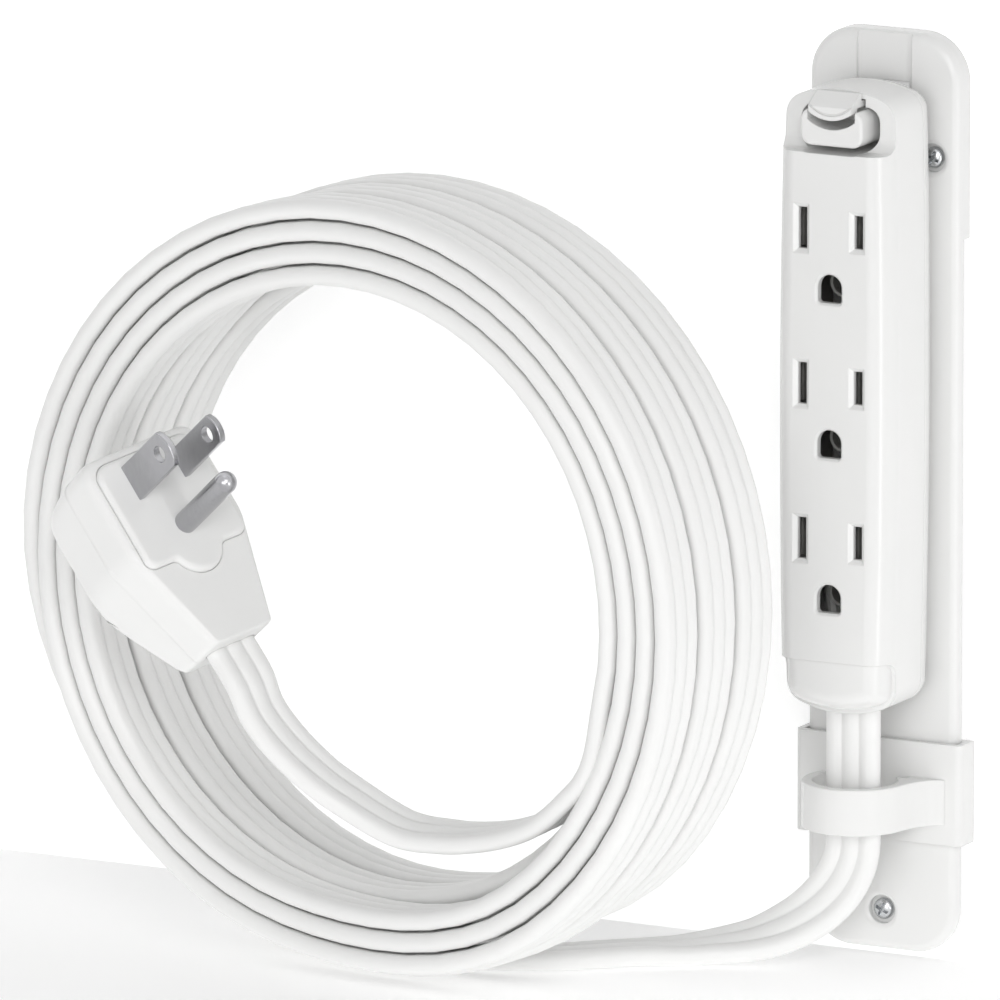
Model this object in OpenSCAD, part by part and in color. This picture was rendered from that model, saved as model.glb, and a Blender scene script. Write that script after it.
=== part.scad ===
// Wall-mounted three-outlet power strip with a flat cord and an angled plug.
// The wall is the plane y = 0 and the room is on its -y side, so a "reach" is a
// distance out from the wall. x runs to the right, z runs up, and the origin is
// the middle of the bracket's back face.

/* [Wall bracket] */
// Height of the bracket
bracket_height = 192; // [184:1:206]
// Width of the solid part above the clip's track
bracket_width = 34.4; // [30:0.2:34.4]
// Width of the front flange, which the cord clip slides on
rail_width = 34.4; // [33:0.2:35]
// Height of the clip's track, from the bracket's lower end
rail_height = 146.4; // [120:0.2:160]
// Reach of the bracket's front face
bracket_reach = 5; // [4.4:0.1:6]
// Thickness of the front flange that the clip hooks behind
flange_thickness = 2.4; // [1.8:0.1:3]
// How far the flange stands out beyond the bracket's core
flange_overhang = 2.6; // [2:0.1:3.2]
// Radius of the bracket's corners
bracket_corner = 10; // [6:0.5:14]
// Rounding of the bracket's front edge
bracket_edge = 1.9; // [0.8:0.1:2.2]
// Width of the shallow channel down the front
channel_width = 12.5; // [10:0.5:13.5]
// Depth of the shallow channel
channel_depth = 0.8; // [0.4:0.1:1.2]

/* [Strip seat] */
// Width of the post that the strip hangs on
post_width = 14; // [12:0.5:15]
// Height of the post
post_height = 7.6; // [6.8:0.2:9]
// Height of the post's top above the bracket's middle
post_top = 83.5; // [80:0.5:84]
// Width of the sprung tab that locks the strip
tab_width = 9.8; // [8:0.2:10.2]
// Thickness of the tab's tongue
tab_thickness = 1.3; // [1:0.1:1.5]
// How far the tab's catch rises above its tongue
catch_rise = 1.5; // [1.2:0.1:1.6]
// Distance between the two rails that the strip's back rests on
seat_rail_gap = 17; // [15:0.5:18]

/* [Power strip] */
// Width of the strip
strip_width = 25.8; // [24.8:0.2:28]
// Length of the strip
strip_length = 130; // [130:1:134]
// Height of the strip's lower end above the bracket's middle
strip_low = -42.8; // [-43.5:0.1:-42]
// Reach of the strip's front face
strip_front = 29.7; // [29:0.1:32]
// Reach of the strip's back
strip_back = 8; // [7.6:0.1:8.4]
// Reach of the joint between the two covers
cover_joint = 12; // [11.5:0.5:13]
// Wall thickness of the covers
cover_wall = 2; // [1.6:0.1:2.2]
// Radius of the strip's corners, seen from the front
strip_corner = 9.4; // [7:0.2:9.6]
// Rounding of the strip's front edge
strip_edge = 6; // [4:0.5:7]
// How much narrower the strip is at its ends than at its middle
strip_barrel = 0.9; // [0:0.1:1.4]
// Length of the stepped-back lower end
toe_length = 12.2; // [9:0.2:13]
// Radius of the upper corners of the stepped-back lower end, on the strip's sides
toe_corner = 1.7; // [1:0.1:3]
// How much of the strip's side is left behind the stepped-back lower end
toe_margin = 15.4; // [14:0.2:17]
// Depth of the step at the lower end
toe_step = 1; // [0.6:0.1:1.4]

/* [Outlets] */
// Number of outlets
outlet_count = 3; // [3:1:3]
// Distance from one outlet to the next
outlet_pitch = 32.2; // [30:0.2:33]
// Height of the highest outlet above the bracket's middle
outlet_top = 58.7; // [57.5:0.1:59]
// Distance between the two blade slots
blade_spacing = 12.7; // [12.5:0.1:12.9]
// Distance from the blade slots down to the earth hole
earth_drop = 11.9; // [11.7:0.1:12.1]
// Width of a blade slot
slot_width = 1.9; // [1.7:0.1:2.1]
// Length of the neutral slot
neutral_slot = 8.6; // [8.2:0.1:9]
// Length of the line slot
line_slot = 6.9; // [6.7:0.1:7.3]
// Width of the earth hole
earth_hole = 5.4; // [5.2:0.1:5.6]
// Width of the bevel round each opening
slot_bevel = 0.9; // [0.5:0.1:1.1]

/* [Contacts and wires] */
// Thickness of the brass that the contacts are folded from
brass_thickness = 0.6; // [0.5:0.1:0.8]
// Length of one contact leaf
leaf_length = 9; // [8:0.5:9.5]
// Reach at which the contacts begin
contact_back = 13; // [12.9:0.1:13.4]
// Reach at which the contacts end
contact_front = 25; // [24:0.5:26]
// Diameter of an insulated conductor
conductor_size = 2.6; // [2.2:0.1:2.8]

/* [Cord] */
// Width of the flat cord
cord_width = 12; // [11.4:0.1:12.2]
// Thickness of the flat cord
cord_thickness = 4.1; // [3.8:0.1:4.2]
// Reach of the cord's middle where it leaves the strip
cord_reach = 17.7; // [17:0.1:18.4]

/* [Coil] */
// Radius of the outermost turn, at the cord's middle
coil_radius = 79.6; // [79:0.1:80]
// Step from one turn to the next inside it
turn_pitch = 4.6; // [4.58:0.01:4.7]
// Step from one column of turns to the next
column_pitch = 13.4; // [13:0.1:14]

/* [Cord clip] */
// Height of the clip's sliding plate
clip_height = 21.2; // [18:0.2:22]
// Height of the clip's middle above the bracket's lower end
clip_rise = 34.3; // [33.5:0.1:35]
// Thickness of the clip's plate and sides
clip_wall = 1.4; // [1.2:0.1:1.8]
// Height of the clip's curved arm
arm_height = 9.6; // [8:0.2:11]
// Thickness of the arm
arm_thickness = 2.2; // [1.8:0.1:2.6]
// Inner radius of the arm's loop
loop_radius = 8.8; // [8.6:0.1:9.4]

/* [Plug] */
// Width of the plug body at its blade end
plug_width = 30.4; // [29.6:0.2:32]
// Width of the plug body at its cord end
plug_neck_width = 15.6; // [15.2:0.2:18]
// Length of the plug body
plug_length = 45.5; // [44:0.5:48]
// Depth of the plug body behind its face
plug_depth = 26; // [24:0.5:27]
// How far the moulded face stands proud of the body
face_rise = 1.2; // [0.8:0.1:1.6]
// Length that the blades stand out from the face
blade_reach = 18.2; // [16:0.1:18.3]
// Length that the earth pin stands out from the face
pin_reach = 21.4; // [19:0.1:21.5]
// Diameter of the earth pin
pin_size = 4.75; // [4.6:0.05:4.8]
// Thickness of a blade
blade_thickness = 1.5; // [1.4:0.1:1.6]
// Width of the neutral blade
neutral_blade_width = 7.9; // [7.6:0.1:8]
// Width of the line blade
line_blade_width = 6.35; // [6.1:0.05:6.5]
// Diameter of the hole near each blade's tip
blade_hole = 3.6; // [3:0.1:4]

/* [Screws] */
// Distance between the two upper wall screws
screw_spacing = 21.6; // [21:0.2:23]
// Height of the upper wall screws above the bracket's middle
upper_screw = 70.5; // [68:0.5:72]
// Distance from the bracket's lower end to the lower wall screw
lower_screw_rise = 8.3; // [7.5:0.1:10]
// Diameter of the wall screws
wall_screw_size = 3.5; // [3:0.1:3.8]
// Diameter of the wall screws' heads
wall_head_size = 5.6; // [5.2:0.1:6]
// Length of a wall screw beyond the bracket's back
wall_screw_length = 18; // [12:1:25]
// Diameter of the screws that join the covers
cover_screw_size = 2.4; // [2.2:0.1:2.6]
// Length of the screws that join the covers
cover_screw_length = 12; // [10:0.5:13]
// Distance of the screws that join the covers from the strip's middle line
cover_screw_side = 8.1; // [7.8:0.1:8.4]
// Distance of the lower pair from the strip's lower end
cover_screw_rise = 17.5; // [16.5:0.5:18]
// Distance of the upper pair above the highest outlet
cover_screw_above = 10.3; // [10:0.1:10.6]

/* [Clearances] */
// Gap between the sliding clip and the bracket
slide_gap = 0.3; // [0.2:0.05:0.4]
// Gap between pieces that are put together by hand
fit_gap = 0.2; // [0.1:0.05:0.3]
// Gap between the strip's opening and the post that it hangs on
hang_gap = 0.3; // [0.2:0.05:0.4]
// Room round the post at the sides of the strip's opening
opening_gap = 1.9; // [1.5:0.1:2.2]

/* [Hidden] */
$fn = 48;
overlap = 0.01;
gloss_white = "#f4f4f2";
cord_white = "#efefee";
brass = "#c9a24a";
nickel = "#b9bcc0";

half_height = bracket_height / 2;
core_reach = bracket_reach - flange_thickness;
rail_top = rail_height - half_height;
strip_high = strip_low + strip_length;
strip_mid = (strip_low + strip_high) / 2;
post_bottom = post_top - post_height;
post_front = strip_front - 0.7;
opening_width = post_width + 2 * opening_gap;
opening_bottom = post_bottom - 1.5;
opening_top = post_top + hang_gap;
tongue_low = post_top + 0.4;
tongue_high = tongue_low + tab_thickness;
tab_notch_top = tongue_high + hang_gap;
dish_floor = strip_front - 5.2;
step_low = opening_bottom + 0.2;
catch_back = dish_floor + hang_gap;
tab_hinge = [0, -(bracket_reach + 2), tongue_low + tab_thickness / 2];
pad_low = tongue_low - 2.5;
pad_bow = 8.2;
clip_middle = clip_rise - half_height;
clip_low = clip_middle - clip_height / 2;
lower_screw = lower_screw_rise - half_height;
lobe_pitch = (cord_width - cord_thickness) / 2;
outlet_heights = [for (i = [0:outlet_count - 1]) outlet_top - i * outlet_pitch];
lowest_outlet = outlet_top - (outlet_count - 1) * outlet_pitch;
earth_bevel = 0.5;
contact_half = blade_thickness / 2 + 0.3;
face_margin = 2;
face_corner = 3.6;
tongue_middle = 4.7;
tongue_radius = 6.2;
tongue_fillet = 1.8;
wall_neck = 0.5;
pin_groove = 0.3;

// ---- outlines and placing ----

// Extrudes an outline in x and z from one reach to another
module between(back, front) {
  translate([0, -back, 0]) rotate([90, 0, 0]) linear_extrude(front - back) children();
}

// Points of an arc
function arc(cx, cy, r, from, to, steps) =
  [for (i = [0:steps]) [cx + r * cos(from + (to - from) * i / steps),
                        cy + r * sin(from + (to - from) * i / steps)]];

// Rounded rectangle between two heights, drawn in from its edge by an inset
function rounded_points(width, low, high, r, inset) =
  let (x = width / 2 - r, c = r - inset)
  concat(arc(x, low + r, c, -90, 0, 8), arc(x, high - r, c, 0, 90, 8),
         arc(-x, high - r, c, 90, 180, 8), arc(-x, low + r, c, 180, 270, 8));

// Side of the strip: widest at the middle, narrower at both ends
function barrel_x(z) =
  strip_width / 2 - strip_barrel * pow((z - strip_mid) / (strip_length / 2), 2);

// Outline of the strip, drawn in from its edge by an inset
function strip_points(inset) =
  let (r = strip_corner, c = r - min(inset, r - 0.5),
       low = strip_low + r, high = strip_high - r,
       right = [for (i = [1:7]) let (z = low + (high - low) * i / 8) [barrel_x(z) - inset, z]],
       xl = barrel_x(low) - r, xh = barrel_x(high) - r)
  concat(arc(xl, low, c, -90, 0, 6), right, arc(xh, high, c, 0, 90, 6),
         arc(-xh, high, c, 90, 180, 6),
         [for (i = [1:7]) let (z = high - (high - low) * i / 8) [inset - barrel_x(z), z]],
         arc(-xl, low, c, 180, 270, 6));

// Body of the strip with its rounded front edge, shrunk by a wall thickness
module strip_envelope(wall, back) {
  front = strip_front - wall;
  r = strip_edge - wall * 0.6;
  hull() {
    between(back, back + 1) polygon(strip_points(wall + 0.4));
    between(cover_joint - 1, front - r) polygon(strip_points(wall));
    for (a = [22.5:22.5:90]) {
      between(front - r + r * sin(a) - 0.1, front - r + r * sin(a))
        polygon(strip_points(wall + r * (1 - cos(a)) * 0.8));
    }
  }
}

// ---- sweeping the cord ----

function unit(v) = v / norm(v);
function tangent(path, i) =
  unit(path[min(i + 1, len(path) - 1)] - path[max(i - 1, 0)]);

// Flat cord section with eight sides: across the width and through the thickness
cord_section = [[0.5, -0.18], [0.5, 0.18], [0.38, 0.5], [-0.38, 0.5],
                [-0.5, 0.18], [-0.5, -0.18], [-0.38, -0.5], [0.38, -0.5]];
coil_section = [[0.5, 0], [0.36, 0.5], [-0.36, 0.5], [-0.5, 0], [-0.36, -0.5], [0.36, -0.5]];
wire_section = [for (a = [0:45:315]) [0.5 * cos(a), 0.5 * sin(a)]];

// Ring of the tube at one point of the path, whose flat side faces a given way
function ring(p, t, face, section, wide, thick) =
  let (n = unit(face - (face * t) * t), w = cross(n, t))
  [for (s = section) p + s[0] * wide * w + s[1] * thick * n];

// One closed tube along a path. Points that only guide its ends' directions can
// lead it or trail it.
module tube(path, facing, section, wide, thick, lead = 0, trail = 0) {
  sides = len(section);
  last = len(path) - 1 - lead - trail;
  rings = [for (i = [lead:lead + last])
    each ring(path[i], tangent(path, i), facing[i], section, wide, thick)];
  walls = [for (i = [0:last - 1], j = [0:sides - 1])
    let (a = i * sides + j, b = i * sides + (j + 1) % sides)
    each [[a, a + sides, b + sides], [a, b + sides, b]]];
  near_cap = [for (j = [1:sides - 2]) [0, j, j + 1]];
  far_cap = [for (j = [1:sides - 2]) [last * sides, last * sides + j + 1, last * sides + j]];
  polyhedron(points = rings, faces = concat(walls, near_cap, far_cap));
}

// ---- the coil ----

floor_z = -half_height - 1.5;
coil_turn = 7.5;
coil_place = [-81.2, -49, floor_z + coil_radius + cord_thickness / 2];
coil_across = [cos(coil_turn), -sin(coil_turn), 0];
coil_front = [-sin(coil_turn), -cos(coil_turn), 0];
turn_rings = 24;
coil_turns = 10.792;

// Where the turns step inwards and outwards, and where they climb to the next column
steps_in = [0.84, 1.84, 2.84, 7.88, 8.88, 9.88];
steps_out = [4.34, 5.34, 6.34];
climbs = [3.52, 7.04];
step_span = 0.16;
climb_span = 0.28;

// Smooth change from 0 to 1 over part of a turn
function eased(turns, from, span) =
  let (t = min(1, max(0, (turns - from) / span))) t * t * t * (t * (6 * t - 15) + 10);
function total(list, i = 0) = i == len(list) ? 0 : list[i] + total(list, i + 1);

// How many layers below the outermost one, and how many columns forward
function layer(turns) = total([for (a = steps_in) eased(turns, a, step_span)])
                        - total([for (a = steps_out) eased(turns, a, step_span)]);
function column(turns) = total([for (a = climbs) eased(turns, a, climb_span)]);

// Point of the coil: angle from the bottom towards the left, radius, and distance to the front
function coil_point(angle, radius, forward) =
  coil_place - radius * sin(angle) * coil_across + [0, 0, -radius * cos(angle)] + forward * coil_front;
function coil_radial(angle) = -sin(angle) * coil_across + [0, 0, -cos(angle)];
function wound_point(turns) =
  coil_point(360 * turns, coil_radius - turn_pitch * layer(turns), column_pitch * column(turns));

coil_steps = [for (i = [0:turn_rings * coil_turns]) i / turn_rings];
coil_start = wound_point(0) + cord_width * coil_across;
coil_end = wound_point(coil_turns);
coil_end_way = unit(wound_point(coil_turns) - wound_point(coil_turns - 0.01));
coil_path = concat([coil_start], [for (t = coil_steps) wound_point(t)],
                   [coil_end + cord_width * coil_end_way]);
coil_facing = concat([-coil_radial(0)], [for (t = coil_steps) -coil_radial(360 * t)],
                     [-coil_radial(360 * coil_turns)]);

// Gap from one ring of the coil to the turn that passes it a whole number of turns later
function gap_between(i, j) =
  let (d = coil_path[j] - coil_path[i], n = coil_facing[i], w = cross(n, tangent(coil_path, i)))
  max(abs(d * w) - cord_width, abs(d * n) - cord_thickness);
least_gap = min([for (i = [1:len(coil_path) - turn_rings - 3])
                 for (j = [i + turn_rings:turn_rings:len(coil_path) - 2]) gap_between(i, j)]);

// ---- the cord's free stretches ----

// Points from the strip down through the clip, and along the floor to the coil
run_floor = floor_z + cord_thickness / 2;
run_points = [[0, -cord_reach, strip_low], [0, -cord_reach, -52], [0, -cord_reach, -64],
              [0, -17.8, -72], [-1.5, -18, -77.2], [-4.5, -18.4, -82], [-9, -19, -86.4],
              [-14.5, -20, -90], [-21, -21.6, -92.8], [-28, -24, -94.4], [-35, -27.6, run_floor],
              [-41.5, -32.2, run_floor], [-47.5, -37.6, run_floor], [-53, -42.8, run_floor],
              [-59, -47, run_floor]];
run_facing = [[0, -1, 0], [0, -1, 0], [0, -1, 0],
              [0, -1, 0], [0, -1, 0.08], [0, -1, 0.25], [0, -1, 0.5],
              [0, -1, 0.9], [0, -1, 1.8], [0, -0.5, 1.8], [0, -0.2, 1.8],
              [0, 0, 1], [0, 0, 1], [0, 0, 1],
              [0, 0, 1]];
run_path = concat(run_points, [coil_start, wound_point(0)]);
run_faces = concat(run_facing, [[0, 0, 1], [0, 0, 1]]);

// ---- the plug's place ----

plug_turn = [54, -11, 68];
plug_place = [-127.7, -89.2, 14.1];
blade_line = 8;
pin_line = blade_line + earth_drop;
plug_exit_depth = 8.5;

// Turns a direction of the plug's own frame into the room's
function turned(v) =
  let (a = plug_turn[0], b = plug_turn[1], c = plug_turn[2],
       v1 = [v[0], v[1] * cos(a) - v[2] * sin(a), v[1] * sin(a) + v[2] * cos(a)],
       v2 = [v1[0] * cos(b) + v1[2] * sin(b), v1[1], v1[2] * cos(b) - v1[0] * sin(b)])
  [v2[0] * cos(c) - v2[1] * sin(c), v2[0] * sin(c) + v2[1] * cos(c), v2[2]];
function plug_point(x, y, z) = plug_place + turned([x, y, z]);
module in_plug() {
  translate(plug_place) rotate(plug_turn) children();
}

// Points from the coil's last turn, round inside its bottom and up to the plug
tail_angles = [-56, -48, -40, -32, -24.6, -14, 0, 8, 17, 28];
tail_radii = [65.2, 63, 59.8, 56.4, 53.4, 49.2, 41, 36.6, 32, 27.4];
tail_forward = [26.2, 25.6, 25.2, 25.3, 25.8, 27.5, 31.5, 34.8, 38.2, 41.2];
tail_last = len(tail_angles) - 1;
tail_path = concat([coil_end, coil_path[len(coil_path) - 1]],
                   [for (i = [0:tail_last]) coil_point(tail_angles[i], tail_radii[i], tail_forward[i])],
                   [plug_point(0, -plug_length - 8, -plug_exit_depth),
                    plug_point(0, -plug_length, -plug_exit_depth)]);
tail_faces = concat([coil_facing[len(coil_path) - 1], coil_facing[len(coil_path) - 1]],
                    [for (i = [0:tail_last]) let (part = (i + 1) / (tail_last + 2))
                      turned([0, 0, part]) - (1 - part) * coil_radial(tail_angles[i])],
                    [turned([0, 0, 1]), turned([0, 0, 1])]);

// ---- bracket ----

// Plate with rounded corners and a rounded front edge
module rounded_plate(width, low, high, back, front) {
  hull() {
    between(back, front - bracket_edge) polygon(rounded_points(width, low, high, bracket_corner, 0));
    for (a = [30:30:90]) {
      depth = bracket_edge * sin(a);
      between(front - bracket_edge + depth - overlap, front - bracket_edge + depth)
        polygon(rounded_points(width, low, high, bracket_corner, bracket_edge * (1 - cos(a))));
    }
  }
}

// Hole and dished seat for one wall screw
module screw_seat(x, z) {
  translate([x, 1, z]) rotate([90, 0, 0]) cylinder(h = bracket_reach + 2, d = wall_screw_size + 2 * fit_gap);
  between(bracket_reach - 2, bracket_reach + 1) translate([x, z]) circle(d = wall_head_size + 2 * fit_gap);
  translate([x, -(bracket_reach - 0.6), z]) rotate([90, 0, 0])
    cylinder(h = 1, d1 = wall_head_size + 2 * fit_gap, d2 = wall_head_size + 3.4);
}

// Post with the trough that the tab springs down into
module post() {
  trough = tab_width + 1;
  difference() {
    between(bracket_reach - overlap, post_front) {
      translate([-post_width / 2, post_bottom + 2.4]) square([post_width, post_height - 3.4]);
      translate([2.4 - post_width / 2, post_bottom]) square([post_width - 4.8, post_height]);
      for (side = [-1, 1]) {
        translate([side * (post_width / 2 - 2.4), post_bottom + 2.4]) circle(2.4);
        translate([side * (post_width / 2 - 2.4), post_top - 2.4]) circle(2.4);
      }
    }
    translate([-trough / 2, 0, 0]) rotate([90, 0, 90]) linear_extrude(trough)
      polygon([[-bracket_reach - 0.5, post_top + 1], [-bracket_reach - 0.5, post_top - 0.5],
               [-post_front - 1, post_top - 1.9], [-post_front - 1, post_top + 1]]);
    between(post_front - 3.4, post_front + 1) intersection() {
      translate([-trough / 2, post_bottom]) square([trough, post_height + 1]);
      translate([0, pad_low - 2 + trough * 0.8]) circle(trough * 0.8, $fn = 96);
    }
  }
}

module wall_bracket() {
  color(gloss_white) difference() {
    union() {
      between(0, core_reach + overlap)
        polygon(rounded_points(rail_width - 2 * flange_overhang, -half_height + flange_overhang,
                               half_height - flange_overhang, bracket_corner - flange_overhang, 0));
      rounded_plate(rail_width, -half_height, half_height, core_reach, bracket_reach);
      between(0, core_reach + overlap) intersection() {
        polygon(rounded_points(bracket_width, -half_height, half_height, bracket_corner, 0));
        translate([-bracket_width / 2, rail_top]) square([bracket_width, bracket_height]);
      }
      for (side = [-1, 1]) {
        between(bracket_reach - overlap, strip_back - 0.1)
          translate([side * seat_rail_gap / 2 - 0.6, strip_low + 9]) square([1.2, 104]);
      }
      post();
    }
    between(bracket_reach - channel_depth, bracket_reach + 1)
      translate([-channel_width / 2, -half_height - 1]) square([channel_width, post_bottom + half_height]);
    between(bracket_reach - channel_depth, bracket_reach + 1)
      translate([-channel_width / 2, post_top + 6]) square([channel_width, half_height - post_top]);
    for (side = [-1, 1]) {
      between(-1, bracket_reach + 1)
        translate([side * channel_width / 2 - 0.5, half_height - 1.6]) square([1, 3]);
      screw_seat(side * screw_spacing / 2, upper_screw);
    }
    screw_seat(0, lower_screw);
    between(-1, bracket_reach + 1)
      translate([-tab_width / 2 - 0.5, tongue_low - 0.4]) square([tab_width + 1, tab_thickness + 0.9]);
  }
}

// Pan head with a cross recess, and a plain shank with a point
module wall_screw(x, z) {
  head_back = bracket_reach - 2 + fit_gap / 2;
  translate([x, -head_back, z]) rotate([90, 0, 0]) difference() {
    union() {
      cylinder(h = 1.1, d = wall_head_size);
      translate([0, 0, 1.1]) cylinder(h = 0.5, d1 = wall_head_size, d2 = wall_head_size - 1.6);
    }
    for (turn = [0, 90]) {
      rotate([0, 0, turn]) translate([-1.5, -0.35, 0.6]) cube([3, 0.7, 2]);
    }
  }
  translate([x, wall_neck, z]) rotate([90, 0, 0])
    cylinder(h = wall_neck + head_back + overlap, d = wall_screw_size - 0.5);
  translate([x, wall_screw_length - 3, z]) rotate([90, 0, 0])
    cylinder(h = wall_screw_length - 3 - wall_neck + overlap, d = wall_screw_size);
  translate([x, wall_screw_length, z]) rotate([90, 0, 0]) cylinder(h = 3, d1 = 0.4, d2 = wall_screw_size);
}

module wall_screws() {
  color(nickel) {
    for (side = [-1, 1]) {
      wall_screw(side * screw_spacing / 2, upper_screw);
    }
    wall_screw(0, lower_screw);
  }
}

// Sprung tongue: hinged in the bracket, with a catch in front of the strip's wall and a thumb pad
module release_tab() {
  root = -tab_hinge[1] - 1;
  nose = post_front + 0.6;
  color(gloss_white) difference() {
    translate([-tab_width / 2, 0, 0]) rotate([90, 0, 90]) linear_extrude(tab_width)
      polygon([[-root, tongue_low], [-root, tongue_high], [-catch_back, tongue_high],
               [-catch_back, tongue_high + catch_rise], [-catch_back - 1, tongue_high + catch_rise],
               [-nose + 0.8, tongue_high - 0.4], [-nose, tongue_high - 1],
               [-nose, pad_low], [-nose + 2.4, pad_low], [-nose + 2.8, tongue_low]]);
    between(nose - 3, nose + 1) difference() {
      translate([-tab_width, pad_low - 1]) square([tab_width * 2, tongue_low - pad_low + 1]);
      translate([0, pad_low + pad_bow]) circle(pad_bow, $fn = 96);
    }
  }
}

// ---- cord clip ----

// Loop of the clip's arm, seen from above, as an open band round the cord
module arm_outline() {
  outer = loop_radius + arm_thickness;
  cy = -(cord_reach - 3.2);
  plate = -(bracket_reach + slide_gap + clip_wall);
  difference() {
    union() {
      translate([-1.2, cy]) circle(outer, $fn = 96);
      translate([2, plate - 1.6]) square([12, 1.6 + overlap]);
      polygon([[8.2, cy + 2], [9.9, cy + 1], [11.6, plate - 2.6], [14.6, plate - 1.4],
               [14.6, plate + overlap], [6, plate + overlap]]);
    }
    translate([-1.2, cy]) circle(loop_radius, $fn = 96);
    translate([-20, plate - 1.5]) square([20 + 7.2, 6]);
    polygon([[-1.2, cy], [-20, cy + 7], [-20, plate], [5, plate]]);
  }
}

module cord_clip() {
  inside = rail_width / 2 + slide_gap;
  outside = inside + clip_wall;
  hook_front = core_reach - slide_gap;
  plate_back = bracket_reach + slide_gap;
  plate_front = plate_back + clip_wall;
  hook_in = rail_width / 2 - flange_overhang + slide_gap;
  color(gloss_white) {
    translate([0, 0, clip_low]) linear_extrude(clip_height) {
      translate([-outside + 1, -plate_front]) square([2 * outside - 2, clip_wall]);
      for (side = [-1, 1]) {
        translate([side * (outside - 1), -plate_front + 1]) circle(1);
        translate([side * (inside + clip_wall / 2) - clip_wall / 2, -plate_front + 1])
          square([clip_wall, plate_front - 1 - slide_gap]);
        translate([side > 0 ? hook_in : -outside, -hook_front])
          square([outside - hook_in, hook_front - slide_gap]);
      }
    }
    translate([0, 0, clip_middle - arm_height / 2 - 1.6]) linear_extrude(arm_height) arm_outline();
  }
}

// ---- power strip ----

// Slots and earth hole of one outlet, grown by a margin
module outlet_slots(grow) {
  translate([-blade_spacing / 2 - slot_width / 2 - grow, -neutral_slot / 2 - grow])
    square([slot_width + 2 * grow, neutral_slot + 2 * grow]);
  translate([blade_spacing / 2 - slot_width / 2 - grow, -line_slot / 2 - grow])
    square([slot_width + 2 * grow, line_slot + 2 * grow]);
  translate([0, -earth_drop]) circle(earth_hole / 2 + grow);
  translate([-earth_hole / 2 - grow, -earth_drop - 3.2 - grow]) square([earth_hole + 2 * grow, 3.2 + grow]);
}

// Bevel round a slot: a wedge that widens towards the strip's front
module flare(x, z, half_wide, half_high, grow, deep) {
  back = -strip_front + deep;
  front = -strip_front - overlap;
  w = half_wide + grow;
  h = half_high + grow;
  polyhedron(points = [[x - half_wide, back, z - half_high], [x + half_wide, back, z - half_high],
                       [x + half_wide, back, z + half_high], [x - half_wide, back, z + half_high],
                       [x - w, front, z - h], [x + w, front, z - h], [x + w, front, z + h], [x - w, front, z + h]],
             faces = [[4, 7, 6, 5], [0, 1, 2, 3], [4, 5, 1, 0], [5, 6, 2, 1], [6, 7, 3, 2], [7, 4, 0, 3]]);
}

// Opening for the post, with a notch in its top for the tab
module post_opening(grow) {
  r = 3 + grow;
  foot = 4.2 + grow;
  low = opening_bottom - grow;
  high = opening_top + grow;
  half = opening_width / 2 + grow;
  translate([-half, low + foot]) square([2 * half, high - low - foot - r]);
  translate([foot - half, low]) square([2 * half - 2 * foot, high - low]);
  for (side = [-1, 1]) {
    translate([side * (half - foot), low + foot]) circle(foot);
    translate([side * (half - r), high - r]) circle(r);
  }
  translate([-tab_width / 2 - 0.7 - grow, high - 2])
    square([tab_width + 1.4 + 2 * grow, 2 + tab_notch_top - opening_top]);
}

// Step across the strip's top end, with a hollow foot, round the opening
module top_step() {
  foot = 3;
  translate([-strip_width, 0, 0]) rotate([90, 0, 90]) linear_extrude(2 * strip_width)
    polygon(concat([[-strip_front - 1, strip_high + 1], [-strip_front - 1, step_low]],
                   [for (a = [0:15:90]) [-dish_floor - foot + foot * sin(a), step_low + foot - foot * cos(a)]],
                   [[-dish_floor, strip_high + 1]]));
}

// Place of the screws that join the covers
cover_screw_places = [for (z = [strip_low + cover_screw_rise, outlet_top + cover_screw_above], side = [-1, 1])
                      [side * cover_screw_side, z]];

module strip_front_cover() {
  boss = cover_screw_size + 2.4;
  color(gloss_white) difference() {
    union() {
      difference() {
        strip_envelope(0, strip_back);
        difference() {
          strip_envelope(cover_wall, strip_back - 1);
          between(dish_floor - cover_wall, strip_front)
            translate([-strip_width, step_low - cover_wall]) square([2 * strip_width, 30]);
        }
      }
      between(cover_joint, dish_floor) difference() {
        intersection() {
          post_opening(1.5);
          polygon(strip_points(0.1));
        }
        post_opening(0);
      }
      for (p = cover_screw_places) {
        between(cover_joint, strip_front - cover_wall) translate(p) circle(d = boss);
      }
    }
    between(0, cover_joint) translate([-strip_width, strip_low - 1]) square([2 * strip_width, strip_length + 2]);
    top_step();
    between(strip_back, strip_front) post_opening(0);
    for (p = cover_screw_places) {
      translate([p[0], 0, p[1]]) rotate([90, 0, 0])
        cylinder(h = strip_front - cover_wall - 2, d = cover_screw_size + 0.1);
    }
    for (z = outlet_heights) {
      translate([0, 0, z]) {
        between(strip_front - 5, strip_front + 1) outlet_slots(0);
        flare(-blade_spacing / 2, 0, slot_width / 2, neutral_slot / 2, slot_bevel, slot_bevel);
        flare(blade_spacing / 2, 0, slot_width / 2, line_slot / 2, slot_bevel, slot_bevel);
        flare(0, -earth_drop - 1.85, earth_hole / 2, 1.35, earth_bevel, earth_bevel);
        translate([0, -strip_front + earth_bevel, -earth_drop]) rotate([90, 0, 0])
          cylinder(h = earth_bevel + overlap, d1 = earth_hole, d2 = earth_hole + 2 * earth_bevel);
      }
    }
    toe_cut();
    translate([0, 0, strip_low - 1]) linear_extrude(12) cord_outline(fit_gap);
  }
}

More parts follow.
